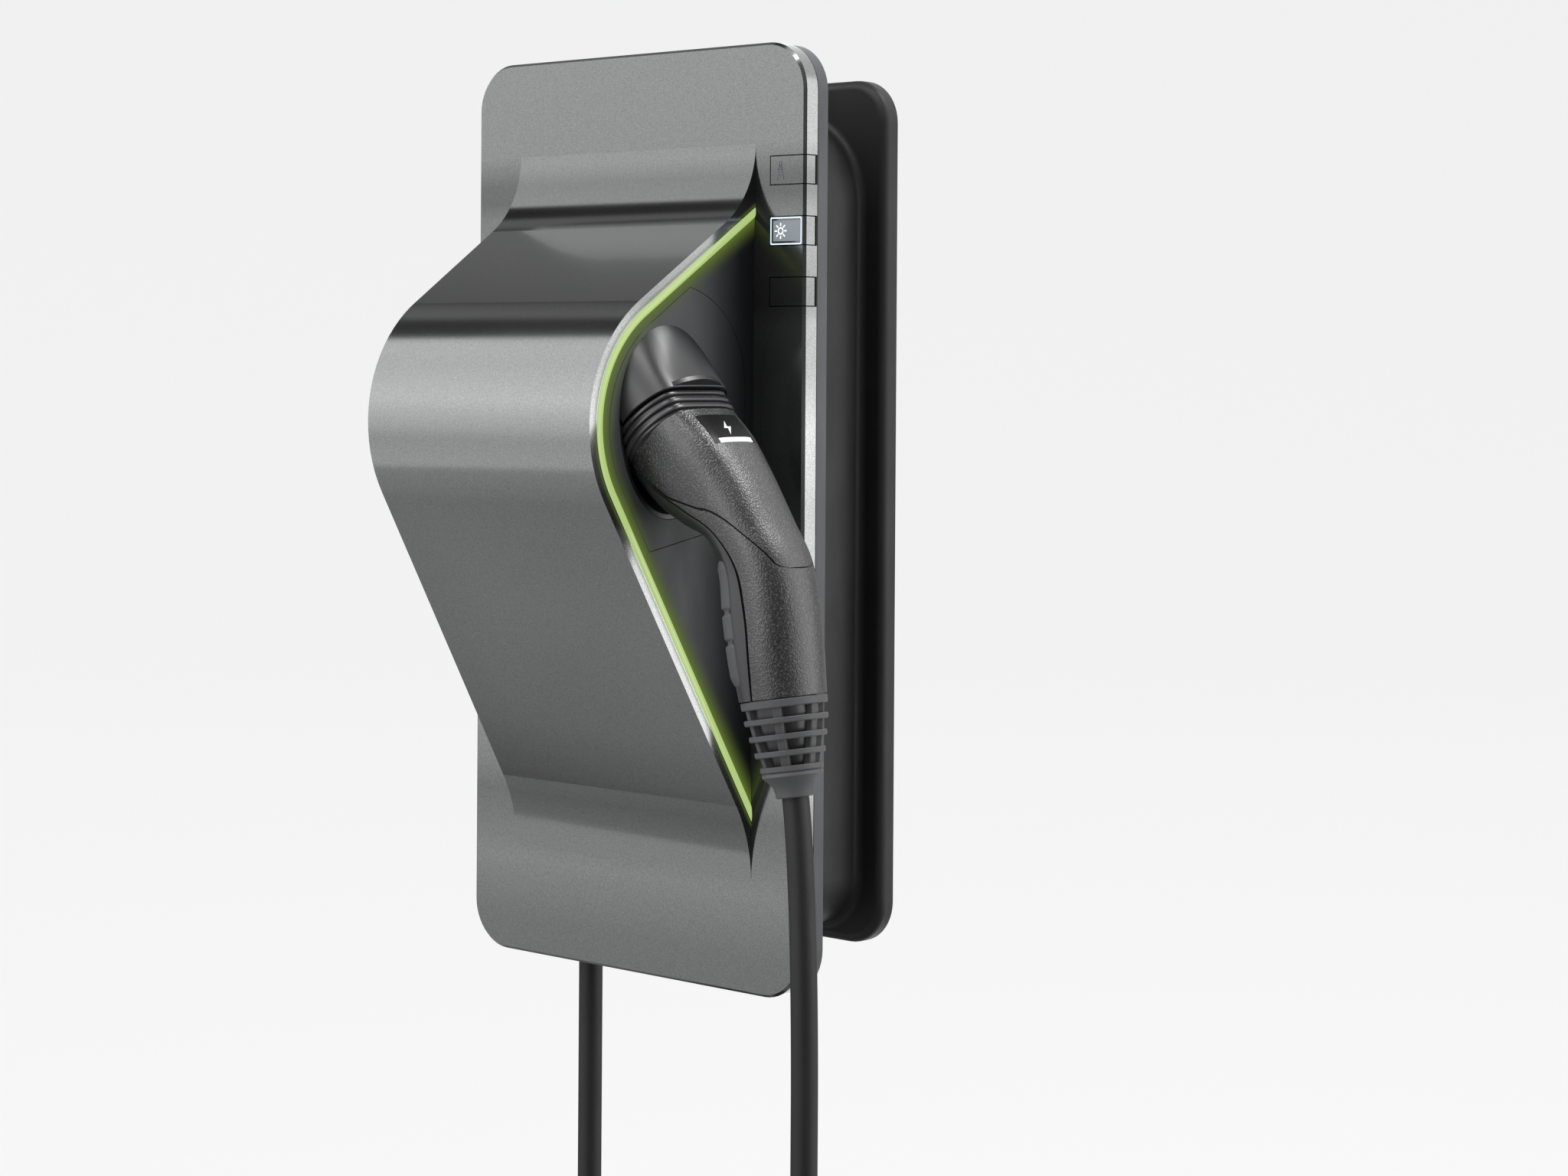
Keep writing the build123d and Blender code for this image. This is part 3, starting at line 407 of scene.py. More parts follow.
def skin(rows, closed=False):
    """Faces of a grid of points given row by row; closed joins the last column to the first."""
    verts = [p for row in rows for p in row]
    wide = len(rows[0])
    faces = []
    for r in range(len(rows) - 1):
        for c in range(wide if closed else wide - 1):
            a = r * wide + c
            b = r * wide + (c + 1) % wide
            faces.append((a, b, b + wide, a + wide))
    return verts, faces


def capped(rows):
    """Closed skin with flat end caps."""
    verts, faces = skin(rows, closed=True)
    wide = len(rows[0])
    faces.append(tuple(reversed(range(wide))))
    faces.append(tuple(range(len(verts) - wide, len(verts))))
    return verts, faces


def tube(path, radius, around):
    """Rows of points around a path of Vectors."""
    rows = []
    side = Vector((0, 1, 0))
    for i, p in enumerate(path):
        ahead = (path[min(i + 1, len(path) - 1)] - path[max(i - 1, 0)]).normalized()
        side = (side - ahead * side.dot(ahead)).normalized()
        up = ahead.cross(side)
        ring = []
        for k in range(around):
            t = 2 * math.pi * k / around
            ring.append(p + side * (radius * math.cos(t)) + up * (radius * math.sin(t)))
        rows.append(ring)
    return rows


# ---------------------------------------------------------------- CAD pieces shown as they are
EDGE_ROUNDING = {
    "rim_frame": 0.8,
    "rear_housing": 0.5,
    "dock_plate": 0.25,
    "right_cheek": 0.25,
    "left_cheek": 0.25,
    "button_top": 0.4,
    "button_middle": 0.4,
    "button_bottom": 0.4,
}
for entry in frame["record"]["subparts"]:
    node = frame["nodes"][entry["node"]]
    node.data.materials.clear()
    node.data.materials.append(LOOKS["window" if entry["node"] == "sun_window" else entry["material_slot"]])
    if entry["node"] in EDGE_ROUNDING:
        add_bevel(node, EDGE_ROUNDING[entry["node"]])
    add_smooth(node)


# ---------------------------------------------------------------- cable, one piece from gland to plug
def heading(degrees):
    """Direction in the plug's upright plane."""
    return Vector((math.cos(math.radians(degrees)), 0, math.sin(math.radians(degrees))))


PLUG_Y = -158.0
OUT = heading(-49)  # the way the plug comes out of the dock
UP = Vector((-OUT.z, 0, OUT.x))
ACROSS = Vector((0, 1, 0))
DOCK = Vector((91.0, PLUG_Y, 54.5))  # where the plug's axis meets the hood's lip
CAGE = Vector((174.0, PLUG_Y, -87.0))  # start of the strain relief
CAGE_OUT = heading(-80.3)
CAGE_LENGTH = 49.5
LEG_PLUG = Vector((190.0, PLUG_Y, -400.0))  # lower ends of the two straight legs
LEG_GLAND = Vector((-76.0, -51.0, -400.0))
CABLE_RADIUS = 7.0


def bezier(a, b, c, d, steps):
    """Points of a cubic curve."""
    points = []
    for i in range(steps + 1):
        t = i / steps
        s = 1 - t
        points.append(a * s**3 + b * (3 * s * s * t) + c * (3 * s * t * t) + d * t**3)
    return points


def cable_path():
    """Centre line from inside the handle, down, round the bend and up to the gland."""
    leave = CAGE + CAGE_OUT * CAGE_LENGTH
    path = [CAGE - CAGE_OUT * 20, leave]
    x, y = LEG_PLUG.x, LEG_PLUG.y
    path += bezier(leave, leave + CAGE_OUT * 20, Vector((x, y, -210)), Vector((x, y, -300)), 40)[1:]
    path += [Vector((x, y, z)) for z in range(-310, -391, -10)]
    centre = (LEG_PLUG + LEG_GLAND) / 2
    arm = (LEG_PLUG - LEG_GLAND) / 2
    for i in range(97):
        t = math.pi * i / 96
        path.append(centre + arm * math.cos(t) - Vector((0, 0, arm.length * math.sin(t))))
    path += [Vector((LEG_GLAND.x, LEG_GLAND.y, z)) for z in range(-390, -204, 10)]
    return path


verts, faces = capped(tube(cable_path(), CABLE_RADIUS, 40))
cable = new_object("charging_cable", verts, faces, "cable_rubber", body=None)
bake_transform(cable)
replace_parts(cable, "cable_plug_side", "cable_housing_side")

# ---------------------------------------------------------------- plug body
# (underside point, top point, half width, squareness of the upper half), points as (x, z)
STATIONS = [
    ((77.5, 24.2), (120.2, 61.2), 29.2, 3.6),
    ((93.5, 8.9), (137.4, 47.1), 27.8, 3.2),
    ((112.0, -1.0), (153.8, 27.8), 25.2, 2.8),
    ((130.0, -8.0), (169.4, 5.0), 23.6, 2.5),
    ((139.5, -24.0), (183.5, -15.0), 23.0, 2.3),
    ((142.3, -47.0), (190.6, -38.7), 23.5, 2.2),
    ((146.4, -69.0), (193.6, -61.0), 23.5, 2.1),
    ((151.8, -90.4), (196.2, -82.8), 22.3, 2.0),
]
LOWER_ROUNDNESS = 2.2
GRIP_SEAM = [-32.0, -27.0, -20.0, -10.0, -2.0, 2.0, 1.0, -4.0]  # side angle of the grip's seam, per station
SEAM_DEPTH = 1.5
SEAM_BAND = 3.4  # width in degrees of the narrow band between the two side seams
SEAM_TURN = 0.20  # where along the plug the top cover's seam starts to climb
SEAM_CORNER = 0.565  # where it turns over the back
SEAM_END = 0.60  # where it closes over the back of the handle
SEAM_CORNER_ANGLE = 52.0


def curve(values, t):
    """Catmull-Rom value through a list of numbers at 0..1."""
    spans = len(values) - 1
    x = min(max(t, 0), 1) * spans
    i = min(int(x), spans - 1)
    u = x - i
    a = values[i - 1] if i else 2 * values[0] - values[1]
    b, c = values[i], values[i + 1]
    d = values[i + 2] if i + 2 <= spans else 2 * values[-1] - values[-2]
    return b + 0.5 * u * (c - a + u * (2 * a - 5 * b + 4 * c - d + u * (3 * (b - c) + d - a)))


def plug_frame(t):
    """Centre, half height as a Vector, half width and squareness of the plug's section at 0..1."""
    low = Vector((curve([s[0][0] for s in STATIONS], t), PLUG_Y, curve([s[0][1] for s in STATIONS], t)))
    top = Vector((curve([s[1][0] for s in STATIONS], t), PLUG_Y, curve([s[1][1] for s in STATIONS], t)))
    half = curve([s[2] for s in STATIONS], t)
    power = curve([s[3] for s in STATIONS], t)
    return (low + top) / 2, (top - low) / 2, half, power


def plug_point(t, angle, lift=0.0):
    """Point of the plug's skin; angle in degrees, 90 on top and -90 underneath."""
    centre, up, half, power = plug_frame(t)
    c, s = math.cos(math.radians(angle)), math.sin(math.radians(angle))
    power = power if s > 0 else LOWER_ROUNDNESS
    offset = ACROSS * (half * math.copysign(abs(c) ** (2 / power), c))
    offset += up * math.copysign(abs(s) ** (2 / power), s)
    return centre + offset * (1 + lift / offset.length)


def grip_seam(t):
    """Side angle of the seam between the handle shell and the grip."""
    return curve(GRIP_SEAM, t)


def cover_seam(t):
    """Side angle of the seam between the top cover and the handle shell."""
    start = grip_seam(min(t, SEAM_TURN)) + SEAM_BAND
    climb = min(max((t - SEAM_TURN) / (SEAM_CORNER - SEAM_TURN), 0), 1)
    turn = min(max((t - SEAM_CORNER) / (SEAM_END - SEAM_CORNER), 0), 1)
    angle = start + (SEAM_CORNER_ANGLE - start) * climb**1.15
    return angle + (90 - SEAM_CORNER_ANGLE) * (1 - math.sqrt(1 - turn * turn))


def strip(first, last, t_from, t_to, rows=150, columns=28, gap=1.5, side=1):
    """Skin between two seam angles (functions of t), with lips turned into the seams."""
    grid = []
    for r in range(rows + 1):
        t = t_from + (t_to - t_from) * r / rows
        low, high = first(t) + gap, last(t) - gap
        if high < low:
            low = high = (low + high) / 2
        line = []
        for k in range(columns + 1):
            angle = low + (high - low) * k / columns
            line.append(plug_point(t, angle if side > 0 else 180 - angle))
        centre = plug_frame(t)[0]
        first_lip, last_lip = [p + (centre - p).normalized() * SEAM_DEPTH for p in (line[0], line[-1])]
        grid.append([first_lip] + line + [last_lip])
    return skin(grid)


def joined(*parts):
    """One mesh from several."""
    verts, faces = [], []
    for more_verts, more_faces in parts:
        base = len(verts)
        verts += more_verts
        faces += [tuple(i + base for i in face) for face in more_faces]
    return verts, faces


verts, faces = strip(cover_seam, lambda t: 180 - cover_seam(t), 0.0, SEAM_END - 0.004, rows=260, columns=60)
top_cover = new_object("plug_top_cover_skin", verts, faces, "plug_plastic", "plug")
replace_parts(top_cover, "plug_top_cover")

sides = [strip(grip_seam, cover_seam, 0.0, SEAM_END, rows=260, side=s) for s in (1, -1)]
back = strip(grip_seam, lambda t: 180 - grip_seam(t), SEAM_END, 1.0, rows=90, columns=56)
verts, faces = joined(*sides, back)
shell = new_object("plug_handle_skin", verts, faces, "plug_plastic", "plug")
verts, faces = strip(lambda t: 180 - grip_seam(t), lambda t: 360 + grip_seam(t), 0.0, 1.0, columns=48)
grip = new_object("plug_grip_skin", verts, faces, "plug_smooth", "plug")
verts, faces = strip(lambda t: 0, lambda t: 360, 0.0, 1.0, rows=60, columns=60, gap=0)
lining = new_object("plug_lining", verts, faces, "seal_rubber", "plug")
for obj in (shell, grip, lining):
    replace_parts(obj, "plug_shell")


def shrink(obj, depth):
    """Pull the lining inside the shells so that it only shows in the seams."""
    centres = [plug_frame(k / 30)[0] for k in range(31)]
    for vertex in obj.data.vertices:
        point = vertex.co / MM
        centre = min(centres, key=lambda c: (c - point).length)
        vertex.co = (point + (centre - point).normalized() * depth) * MM


shrink(lining, 1.6)

PAD_START, PAD_LENGTH = 0.53, 0.42  # along the plug, 0..1
PAD_HALF_ANGLE = 72
PAD_HEIGHT = 1.9
PAD_SUNK = 0.6
NOTCHES = (0.70, 0.80)
NOTCH_DEPTH = 1.5


def pad_lift(t):
    """Height of the soft pad, with two thumb notches."""
    notches = sum(math.exp(-(((t - place) / 0.010) ** 4)) for place in NOTCHES)
    return PAD_HEIGHT - NOTCH_DEPTH * min(notches, 1)


def soft_pad():
    """Raised grey pad under the handle."""
    rows = []
    for r in range(121):
        t = PAD_START + PAD_LENGTH * r / 120
        ease = min(1, 12 * min(r / 120, 1 - r / 120))
        line = []
        for k in range(41):
            u = k / 20 - 1
            edge = 1 - abs(u) ** 8
            lift = (pad_lift(t) + PAD_SUNK) * edge * ease**0.5 - PAD_SUNK
            line.append(plug_point(t, 270 + PAD_HALF_ANGLE * u, lift))
        rows.append(line)
    return skin(rows)


verts, faces = soft_pad()
pad = new_object("plug_soft_pad", verts, faces, "soft_grey", "plug")
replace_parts(pad, "grip_pad")


# ---------------------------------------------------------------- collar with three ribs
FLAT_SHARPNESS = 14


def flattened(y, flat):
    """Height y with a softened upper limit."""
    if y <= 0:
        return y
    return (max(y, 0.01) ** -FLAT_SHARPNESS + flat**-FLAT_SHARPNESS) ** (-1 / FLAT_SHARPNESS)


def d_ring(along, radius, flat, around=96):
    """Ring with a softened flat on its upper side, across the plug's axis."""
    ring = []
    for k in range(around):
        t = 2 * math.pi * k / around
        x, y = radius * math.cos(t), flattened(radius * math.sin(t), flat)
        ring.append(DOCK + OUT * along + ACROSS * x + UP * y)
    return ring


# (step along the axis, change of radius) over one rib
RIB = [(0.0, -1.8), (0.1, -0.8), (0.5, -0.15), (1.0, 0.0), (2.0, 0.0), (2.5, -0.15), (2.9, -0.8), (3.0, -1.8)]
RIB_STEP = 4.5


def collar():
    """Three ribs and the step down to the handle."""
    rows = [d_ring(0.3, 20.5, 18.0)]
    for i in range(3):
        rows += [d_ring(0.3 + RIB_STEP * i + s, 33.0 + d, 26.0 + d) for s, d in RIB]
    rows += [d_ring(13.4, 31.0, 24.6), d_ring(14.6, 29.6, 24.0), d_ring(15.4, 27.0, 22.0)]
    return skin(rows, closed=True)


verts, faces = collar()
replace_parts(new_object("plug_collar_ribs", verts, faces, "plug_smooth", "plug"), "plug_collar")


# ---------------------------------------------------------------- hood over the collar
HOOD_R = 35.2
HOOD_FLAT = 28.6
HOOD_LENGTH = 68.0
HOOD_ROUND = 3.0
HOOD_FLAT_LENGTH = 44  # the flat fades out over this length behind the lip
HOOD_HOLE_R = 35.4


def cheek_x(y, depth=0.65):
    """X of the drafted cheek, sunk by depth."""
    return CHEEK_X - depth - CHEEK_DRAFT * (FACE_Y - y)


def hood_point(back, turn):
    """Point of the hood's dome, back behind its lip, at an angle round the plug's axis."""
    shrink = max(1 - (back / HOOD_LENGTH) ** HOOD_ROUND, 0.0) ** (1 / HOOD_ROUND)
    x, y = HOOD_R * math.cos(turn), HOOD_R * math.sin(turn)
    flat = flattened(y, HOOD_FLAT)
    ease = min(back / HOOD_FLAT_LENGTH, 1)
    y = flat + (y - flat) * ease * ease * (3 - 2 * ease)
    return DOCK - OUT * back + (ACROSS * x + UP * y) * shrink


def hood():
    """Domed hood from its lip back to its foot, and the plate that closes the hole round it."""
    rows, plate = [], []
    for k in range(121):
        turn = math.radians(-1 + 182 * k / 120)
        lip = hood_point(0.0, turn)
        inward = (DOCK - lip).normalized()
        reach = 0.0
        while reach < HOOD_LENGTH and hood_point(reach, turn).x > cheek_x(hood_point(reach, turn).y):
            reach += 0.1
        line = [lip + inward * 2.0 - OUT * 4, lip + inward * 1.7 - OUT * 0.7]
        line += [lip + inward * 1.1, lip + inward * 0.5]
        for i in range(41):
            line.append(hood_point(0.4 + max(reach - 0.4, 0.0) * i / 40, turn))
        edge = DOCK + (ACROSS * math.cos(turn) + UP * math.sin(turn)) * HOOD_HOLE_R
        edge -= OUT * max((edge.x - cheek_x(edge.y)) / OUT.x, 0.0)
        rows.append(line)
        plate.append([line[-1].lerp(edge, -0.5 if reach > 1 else 0.0), edge])
    return skin(rows), skin(plate)


dome, plate = hood()
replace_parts(new_object("hood_dome", *dome, "dock_plastic"), "dock_hood")
new_object("hood_foot_plate", *plate, "cheek_plastic")


# ---------------------------------------------------------------- strain relief
CAGE_SIDE = CAGE_OUT.cross(ACROSS).normalized()
CAGE_EDGE = 0.5  # rounding of the rings and bars


def cage_radius(along):
    """Outer radius of the tapering cage."""
    return 22.4 - 7.6 * (along / 38.5) ** 1.35


def lathe(profile, around=72):
    """Skin turned round the cage's axis from (along, radius) points."""
    rows = []
    for along, radius in profile:
        ring = []
        for k in range(around):
            t = math.radians(360 * k / around)
            ring.append(
                CAGE + CAGE_OUT * along + ACROSS * (radius * math.cos(t)) + CAGE_SIDE * (radius * math.sin(t))
            )
        rows.append(ring)
    return skin(rows, closed=True)


def cage_bar(along, tall, outer, deep):
    """Ring with rounded edges."""
    e = CAGE_EDGE
    profile = [(along, outer - deep), (along, outer - e), (along + e, outer), (along + tall - e, outer - 0.2)]
    profile += [(along + tall, outer - e - 0.2), (along + tall, outer - deep), (along, outer - deep)]
    return lathe(profile)


def cage_rib(angle, width):
    """Upright bar of the cage between the rings."""
    half, e, deep = width / 2, CAGE_EDGE, 4
    out = ACROSS * math.cos(math.radians(angle)) + CAGE_SIDE * math.sin(math.radians(angle))
    side = out.cross(CAGE_OUT).normalized()
    rows = []
    for i in range(13):
        s = 1.0 + 37.5 * i / 12
        r = cage_radius(s) - 1.3
        section = [(r - deep, -half), (r - e, -half), (r, -half + e)]
        section += [(r, half - e), (r - e, half), (r - deep, half)]
        rows.append([CAGE + CAGE_OUT * s + out * d + side * w for d, w in section])
    return capped(rows)


cage_parts = [cage_bar(0.2, 4.2, 22.6, 5.0)]
cage_parts += [cage_bar(s, 3.0, cage_radius(s) + 0.6, 4.0) for s in (9.4, 17.8, 26.2, 34.2)]
cage_parts += [cage_rib(a, 4.6) for a in range(30, 390, 60)]
FOOT_PROFILE = [
    (36.5, 8.0), (36.5, 14.6), (38.0, 15.8), (39.4, 16.0), (40.2, 15.2), (42.5, 12.8), (45.0, 11.0),
    (48.0, 10.2), (50.0, 10.0), (50.6, 9.4), (50.6, 7.05), (36.5, 7.05), (36.5, 8.0),
]
cage_parts.append(lathe(FOOT_PROFILE))
verts, faces = joined(*cage_parts)
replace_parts(new_object("strain_relief_cage", verts, faces, "soft_grey", "plug"), "strain_relief")
verts, faces = lathe([(-2, 8), (-2, 17.5), (8, 17.2), (20, 14.5), (37, 10.2), (37, 8)])
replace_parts(new_object("strain_relief_core", verts, faces, "plug_smooth", "plug"), "strain_sleeve")


# ---------------------------------------------------------------- badge on the flat top of the plug
def badge_patch(half_width, t_from, t_to, lift, thick, steps=12):
    """Thin plate that follows the plug's flat top."""
    rows = []
    for r in range(steps + 1):
        t = t_from + (t_to - t_from) * r / steps
        centre, up, half, power = plug_frame(t)
        line = []
        for k in range(steps + 1):
            x = half_width * (2 * k / steps - 1)
            y = (1 - abs(x / half) ** power) ** (1 / power)
            line.append(centre + ACROSS * x + up * (y + lift / up.length))
        low = [p - up.normalized() * thick for p in (line[0], line[-1])]
        rows.append([low[0]] + line + [low[1]])
    first, last = rows[0], rows[-1]
    drop = plug_frame(t_from)[1].normalized() * thick
    rows.insert(0, [p - drop for p in first])
    rows.append([p - drop for p in last])
    return skin(rows)


verts, faces = badge_patch(15, 0.035, 0.165, 0.25, 1.2)
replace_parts(new_object("badge_plate", verts, faces, "badge_black", "plug"), "plug_badge")
verts, faces = badge_patch(12, 0.150, 0.168, 0.6, 0.6)
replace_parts(new_object("badge_light_bar", verts, faces, "white_soft", "plug"), "badge_light")
BOLT = [(1.6, 0.07), (-3.0, 0.108), (-0.2, 0.108), (-1.6, 0.138), (3.0, 0.100), (0.2, 0.100)]
mark = []
for x, t in BOLT:
    centre, up, _, _ = plug_frame(t)
    mark.append(centre + ACROSS * x + up * (1 + 0.45 / up.length))
new_object("badge_bolt_symbol", mark, [tuple(range(6))], "white_soft", "plug", smooth=False)

# ---------------------------------------------------------------- light strip along the bulge
UPPER, LOWER = math.radians(55.4), math.radians(30.2)  # slopes of the bulge against the face
BULGE_TOP, BULGE_LOW, PEAK_R = 176.7, -175.7, 80.0


def bulge_side(inset, u):
    """Point (out, z) of the bulge's side outline moved inward, u from 0 at the top to 1 at the bottom."""
    top = BULGE_TOP - inset / math.sin(UPPER)
    low = BULGE_LOW + inset / math.sin(LOWER)
    rise = (top - low) / (1 / math.tan(UPPER) + 1 / math.tan(LOWER))
    peak = top - rise / math.tan(UPPER)
    r = PEAK_R - inset
    reach = r / math.tan((math.pi - UPPER - LOWER) / 2)
    a = Vector((rise - reach * math.sin(UPPER), peak + reach * math.cos(UPPER)))
    b = Vector((rise - reach * math.sin(LOWER), peak - reach * math.cos(LOWER)))
    start, end = Vector((0, top)), Vector((0, low))
    centre = a + Vector((-math.cos(UPPER), -math.sin(UPPER))) * r
    arc = UPPER + LOWER
    lengths = [(a - start).length, arc * r, (end - b).length]
    s = u * sum(lengths)
    if s <= lengths[0]:
        return start.lerp(a, s / lengths[0])
    if s <= lengths[0] + lengths[1]:
        t = UPPER - (s - lengths[0]) / r
        return centre + Vector((math.cos(t), math.sin(t))) * r
    return b.lerp(end, (s - lengths[0] - lengths[1]) / lengths[2])


def side_band(insets, depths, steps=260):
    """Band along the right side of the bulge; depths are measured in from the drafted side."""
    rows = []
    for i in range(steps + 1):
        line = []
        for inset, depth in zip(insets, depths):
            out, z = bulge_side(inset, i / steps)
            line.append(Vector((CHEEK_X - CHEEK_DRAFT * out - depth, FACE_Y - out, z)))
        rows.append(line)
    return skin(rows)


ACROSS_STRIP = [math.cos(math.radians(a)) for a in range(0, 181, 15)]
insets = [7.2 - 2.7 * c for c in ACROSS_STRIP]
depths = [0.8 - 1.2 * math.sqrt(max(0, 1 - c * c)) for c in ACROSS_STRIP]
verts, faces = side_band([4.5] + insets + [9.9], [2.8] + depths + [2.8])
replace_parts(new_object("light_guide", verts, faces, "green_light"), "light_strip")


def painted_glow_film(name, edge, width, depth, strength):
    """Clear film beside the strip with the strip's glow painted on it."""
    steps = 6
    verts, faces = side_band([edge + width * i / steps for i in range(steps + 1)], [depth] * (steps + 1))
    film = new_object(name, verts, faces, "painted_strip_glow")
    line = [bulge_side(edge, i / 400) for i in range(401)]
    # fade: strength of the painted glow, falling off away from the strip
    fade = film.data.attributes.new("fade", "FLOAT", "POINT")
    for vertex, value in zip(film.data.vertices, fade.data):
        place = Vector((FACE_Y - vertex.co.y / MM, vertex.co.z / MM))
        distance = min((place - p).length for p in line)
        value.value = strength * max(1 - distance / abs(width), 0) ** 2


# painted glow of the strip on the cheek and on the painted edge band
painted_glow_film("painted_glow_on_cheek", 9.8, 11.0, 0.55, 0.75)
painted_glow_film("painted_glow_on_edge", 4.6, -2.6, -0.12, 0.45)


# ---------------------------------------------------------------- button symbols
def stroke(a, b, width, proud=0.12):
    """Raised bar between two points of the front face."""
    a, b = Vector(a), Vector(b)
    along = (b - a).normalized()
    side = Vector((-along.y, along.x)) * width / 2
    corners = [a - side, b - side, b + side, a + side]
    back = [Vector((c.x, FACE_Y, c.y)) for c in corners]
    front = [Vector((c.x, FACE_Y - proud, c.y)) for c in corners]
    faces = [(4, 5, 6, 7), (0, 1, 5, 4), (1, 2, 6, 5), (2, 3, 7, 6), (3, 0, 4, 7)]
    return back + front, faces


def sun_symbol(x, z):
    """Ring with eight rays."""

    def at(radius, turn):
        return x + radius * math.cos(turn), z + radius * math.sin(turn)

    turns = [2 * math.pi * k / 24 for k in range(25)]
    parts = [stroke(at(1.7, t), at(1.7, u), 0.55) for t, u in zip(turns, turns[1:])]
    parts += [stroke(at(2.7, math.pi * k / 4), at(4.3, math.pi * k / 4), 0.6) for k in range(8)]
    return joined(*parts)


PYLON = [
    ((-2.4, -5), (-0.5, 4.6)), ((2.4, -5), (0.5, 4.6)), ((-3.4, 2.6), (3.4, 2.6)), ((-2.8, 0.4), (2.8, 0.4)),
    ((-0.5, 4.6), (0.5, 4.6)), ((-2.4, -5), (1.5, -2)), ((2.4, -5), (-1.5, -2)), ((-1.5, -2), (1.1, 0.4)),
    ((1.5, -2), (-1.1, 0.4)), ((-1.1, 0.4), (0.8, 2.6)), ((1.1, 0.4), (-0.8, 2.6)),
]


def pylon_symbol(x, z):
    """Power pylon: two legs, three arms and bracing."""
    return joined(*[stroke((x + a[0], z + a[1]), (x + b[0], z + b[1]), 0.42) for a, b in PYLON])


verts, faces = sun_symbol(112.5, 157.0)
new_object("sun_symbol", verts, faces, "white_symbol", "middle_button", smooth=False)
BUTTON_CORNERS = [(105.4, 149.9), (127.4, 149.9), (127.4, 164.1), (105.4, 164.1)]
edges = zip(BUTTON_CORNERS, BUTTON_CORNERS[1:] + BUTTON_CORNERS[:1])
verts, faces = joined(*[stroke(a, b, 0.8, proud=0.06) for a, b in edges])
new_object("button_light_frame", verts, faces, "button_glow", "middle_button", smooth=False)
verts, faces = pylon_symbol(112.0, 190.0)
new_object("pylon_symbol", verts, faces, "symbol_grey", "top_button", smooth=False)


# ---------------------------------------------------------------- studio
def area_light(name, place, target, size, power, tall=None):
    """Rectangular soft box aimed at a target."""
    data = bpy.data.lights.new(name, "AREA")
    data.shape = "RECTANGLE"
    data.size = size
    data.size_y = tall or size
    data.energy = power
    obj = bpy.data.objects.new(name, data)
    obj.location = place
    obj.rotation_euler = (Vector(target) - Vector(place)).to_track_quat("-Z", "Y").to_euler()
    bpy.context.scene.collection.objects.link(obj)


# (direction part, grey) stops of the surroundings
FRONT_BY_Z = [
    (-1, 0.15), (-0.66, 0.21), (-0.425, 0.25), (-0.405, 0.42), (-0.17, 0.36), (0.06, 0.60), (0.2, 0.80),
    (0.7, 0.85), (1, 0.6),
]
FRONT_BY_X = [(-1, 1), (0.05, 1.0), (0.40, 0.16), (0.85, 0.12), (0.95, 0.5), (1, 0.6)]
BACK_BY_Y = [
    (-1, 0.02), (-0.20, 0.012), (-0.02, 0.02), (0.05, 0.17), (0.19, 0.13), (0.23, 0.03), (0.26, 0.16),
    (0.5, 0.20), (0.66, 0.62), (0.80, 0.70), (0.9, 0.3), (1, 0.25),
]
FRONT_TO_BACK = [(-1, 0), (-0.24, 0), (-0.20, 1), (1, 1)]
SURROUNDINGS_BLUE = 1.01


def studio_world():
    """Pale backdrop for the camera; softer, darker surroundings for light and reflections."""
    world = bpy.data.worlds.new("studio")
    bpy.context.scene.world = world
    world.use_nodes = True
    tree = world.node_tree
    tree.nodes.clear()
    out = tree.nodes.new("ShaderNodeOutputWorld")
    mix = tree.nodes.new("ShaderNodeMixShader")
    rays = tree.nodes.new("ShaderNodeLightPath")
    seen = tree.nodes.new("ShaderNodeBackground")
    seen.inputs["Color"].default_value = (0.885, 0.885, 0.885, 1)
    around = tree.nodes.new("ShaderNodeBackground")
    around.inputs["Strength"].default_value = 2.0
    coords = tree.nodes.new("ShaderNodeTexCoord")
    way = tree.nodes.new("ShaderNodeSeparateXYZ")
    tree.links.new(coords.outputs["Generated"], way.inputs["Vector"])

    def tone(axis, stops):
        return grey_ramp(tree, way.outputs[axis], stops, SURROUNDINGS_BLUE)

    both = tree.nodes.new("ShaderNodeMix")
    both.data_type = "RGBA"
    tree.links.new(tone("Y", FRONT_TO_BACK), both.inputs["Factor"])
    tree.links.new(multiplied(tree, tone("Z", FRONT_BY_Z), tone("X", FRONT_BY_X)), both.inputs["A"])
    tree.links.new(tone("Y", BACK_BY_Y), both.inputs["B"])
    tree.links.new(both.outputs["Result"], around.inputs["Color"])
    tree.links.new(rays.outputs["Is Camera Ray"], mix.inputs["Fac"])
    tree.links.new(around.outputs["Background"], mix.inputs[1])
    tree.links.new(seen.outputs["Background"], mix.inputs[2])
    tree.links.new(mix.outputs["Shader"], out.inputs["Surface"])


studio_world()
area_light("key", (-0.15, -2.2, 0.55), (0.1, -0.15, 0.0), 0.55, 5, tall=1.5)
area_light("high left", (-0.9, -1.7, 1.6), (0, -0.1, 0.05), 0.9, 3)
area_light("side", (1.75, 0.55, 0.5), (0.1, -0.1, 0.0), 2.0, 24, tall=2.6)
area_light("top", (0.3, -0.9, 1.5), (0.1, -0.15, 0.1), 0.5, 5)
area_light("above", (0.60, 0.28, 1.25), (0.09, -0.16, 0.05), 0.35, 8)

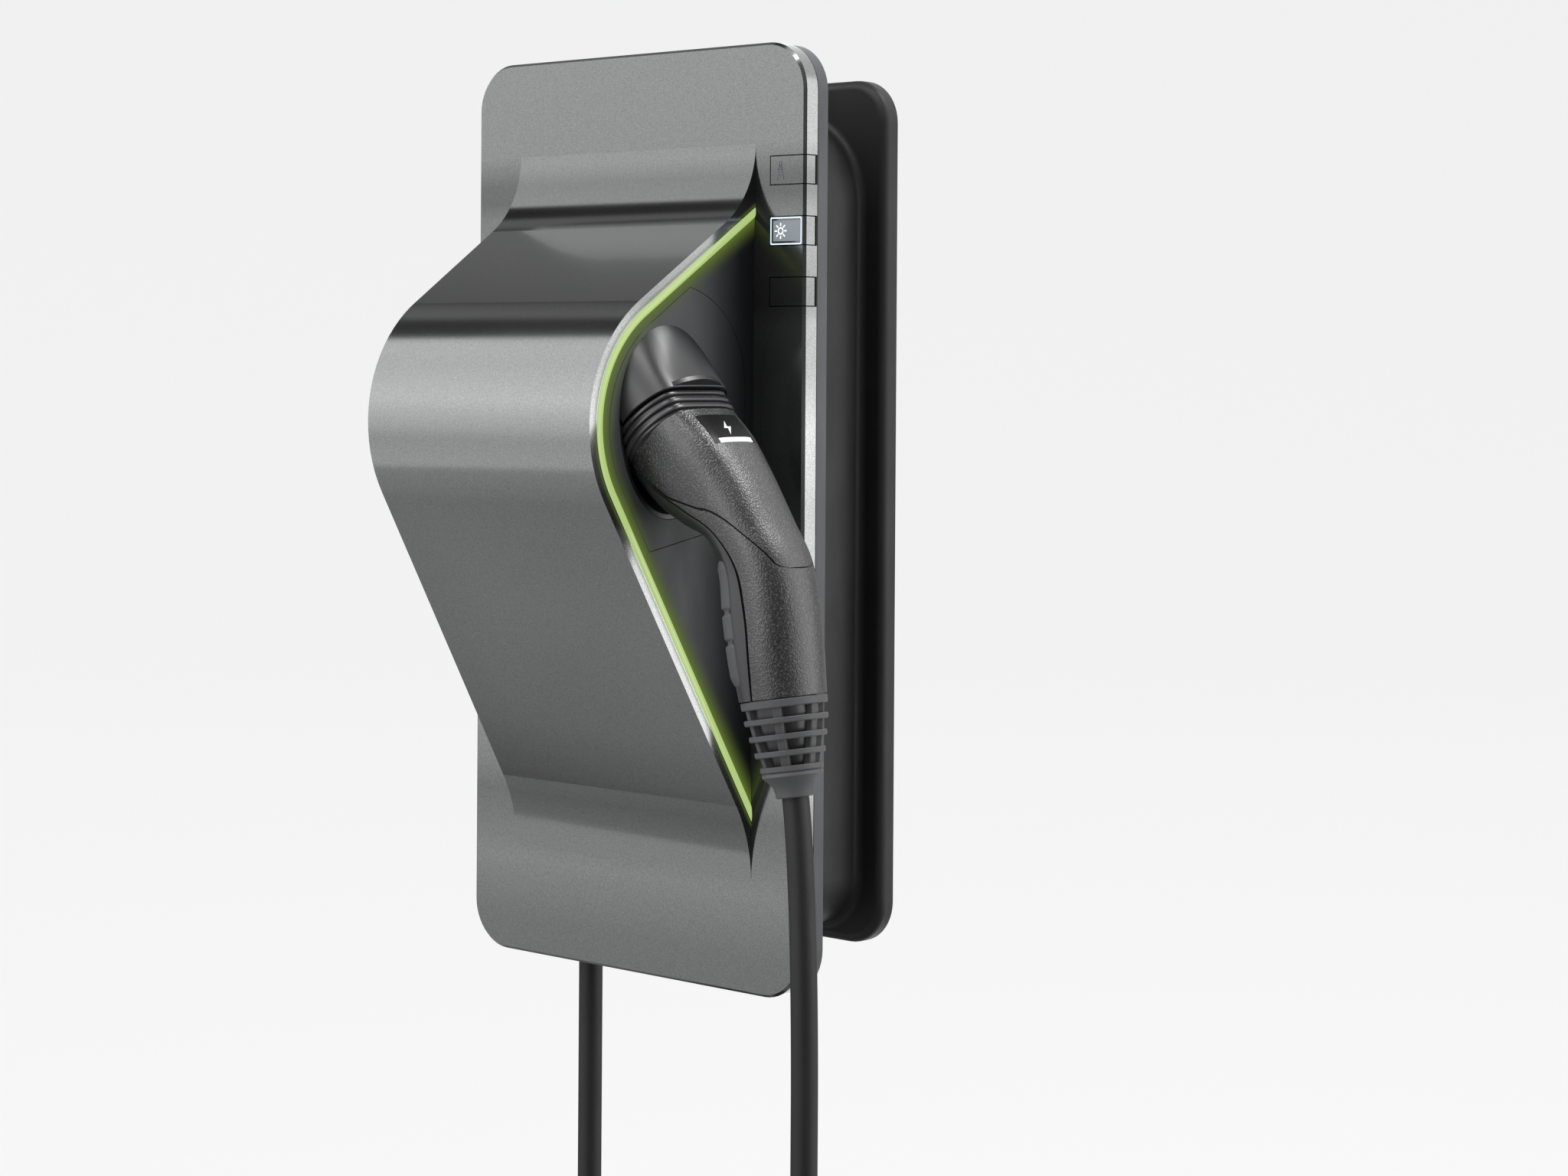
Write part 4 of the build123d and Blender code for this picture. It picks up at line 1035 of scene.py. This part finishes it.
FLOOR_Z = -0.60
FLOOR_END = 3.5  # where the floor starts to sweep up
SWEEP_RADIUS = 2.0
FLOOR_HALF_WIDTH = 7.0
CAMERA_SIDE = math.radians(42)  # the camera looks at the charger from this side


def floor():
    """Pale floor that sweeps up far behind the charger."""
    profile = [(-3.0, FLOOR_Z), (FLOOR_END, FLOOR_Z)]
    for angle in range(10, 91, 10):
        t = math.radians(angle)
        profile.append((FLOOR_END + SWEEP_RADIUS * math.sin(t), FLOOR_Z + SWEEP_RADIUS * (1 - math.cos(t))))
    profile.append((FLOOR_END + SWEEP_RADIUS, 4.5))
    verts = [(x, y, z) for y, z in profile for x in (-FLOOR_HALF_WIDTH, FLOOR_HALF_WIDTH)]
    faces = [(2 * i, 2 * i + 1, 2 * i + 3, 2 * i + 2) for i in range(len(profile) - 1)]
    mesh = bpy.data.meshes.new("floor")
    mesh.from_pydata(verts, [], faces)
    for face in mesh.polygons:
        face.use_smooth = True
    obj = bpy.data.objects.new("floor", mesh)
    obj.rotation_euler = (0, 0, CAMERA_SIDE)
    bpy.context.scene.collection.objects.link(obj)
    m = Nodes("floor")
    seen = m.ray("Is Camera Ray")
    m.link(m.blend(seen, (0.35, 0.355, 0.35), (0.12, 0.12, 0.12)), m.shader.inputs["Base Color"])
    m.link(m.spread(seen, 0.18, 0.795, 0, 1), m.shader.inputs["Emission Strength"])
    m.shader.inputs["Emission Color"].default_value = (1, 1, 1, 1)
    m.shader.inputs["Roughness"].default_value = 0.9
    mesh.materials.append(m.material)
    obj.visible_glossy = False


floor()

# ---------------------------------------------------------------- camera
camera_data = bpy.data.cameras.new("camera")
camera_data.sensor_width = 36
camera_data.lens = 71.21
camera_data.shift_y = -0.14185
camera_data.clip_end = 50
camera = bpy.data.objects.new("camera", camera_data)
look = Vector((-0.672, 0.741, 0)).normalized()
camera.matrix_world = (
    Matrix.Translation((1.2440, -1.3393, 0.0840))
    @ look.to_track_quat("-Z", "Y").to_matrix().to_4x4()
    @ Matrix.Rotation(math.radians(0.367), 4, "Z")
)
bpy.context.scene.collection.objects.link(camera)
bpy.context.scene.camera = camera
bpy.context.scene.view_settings.view_transform = "Standard"
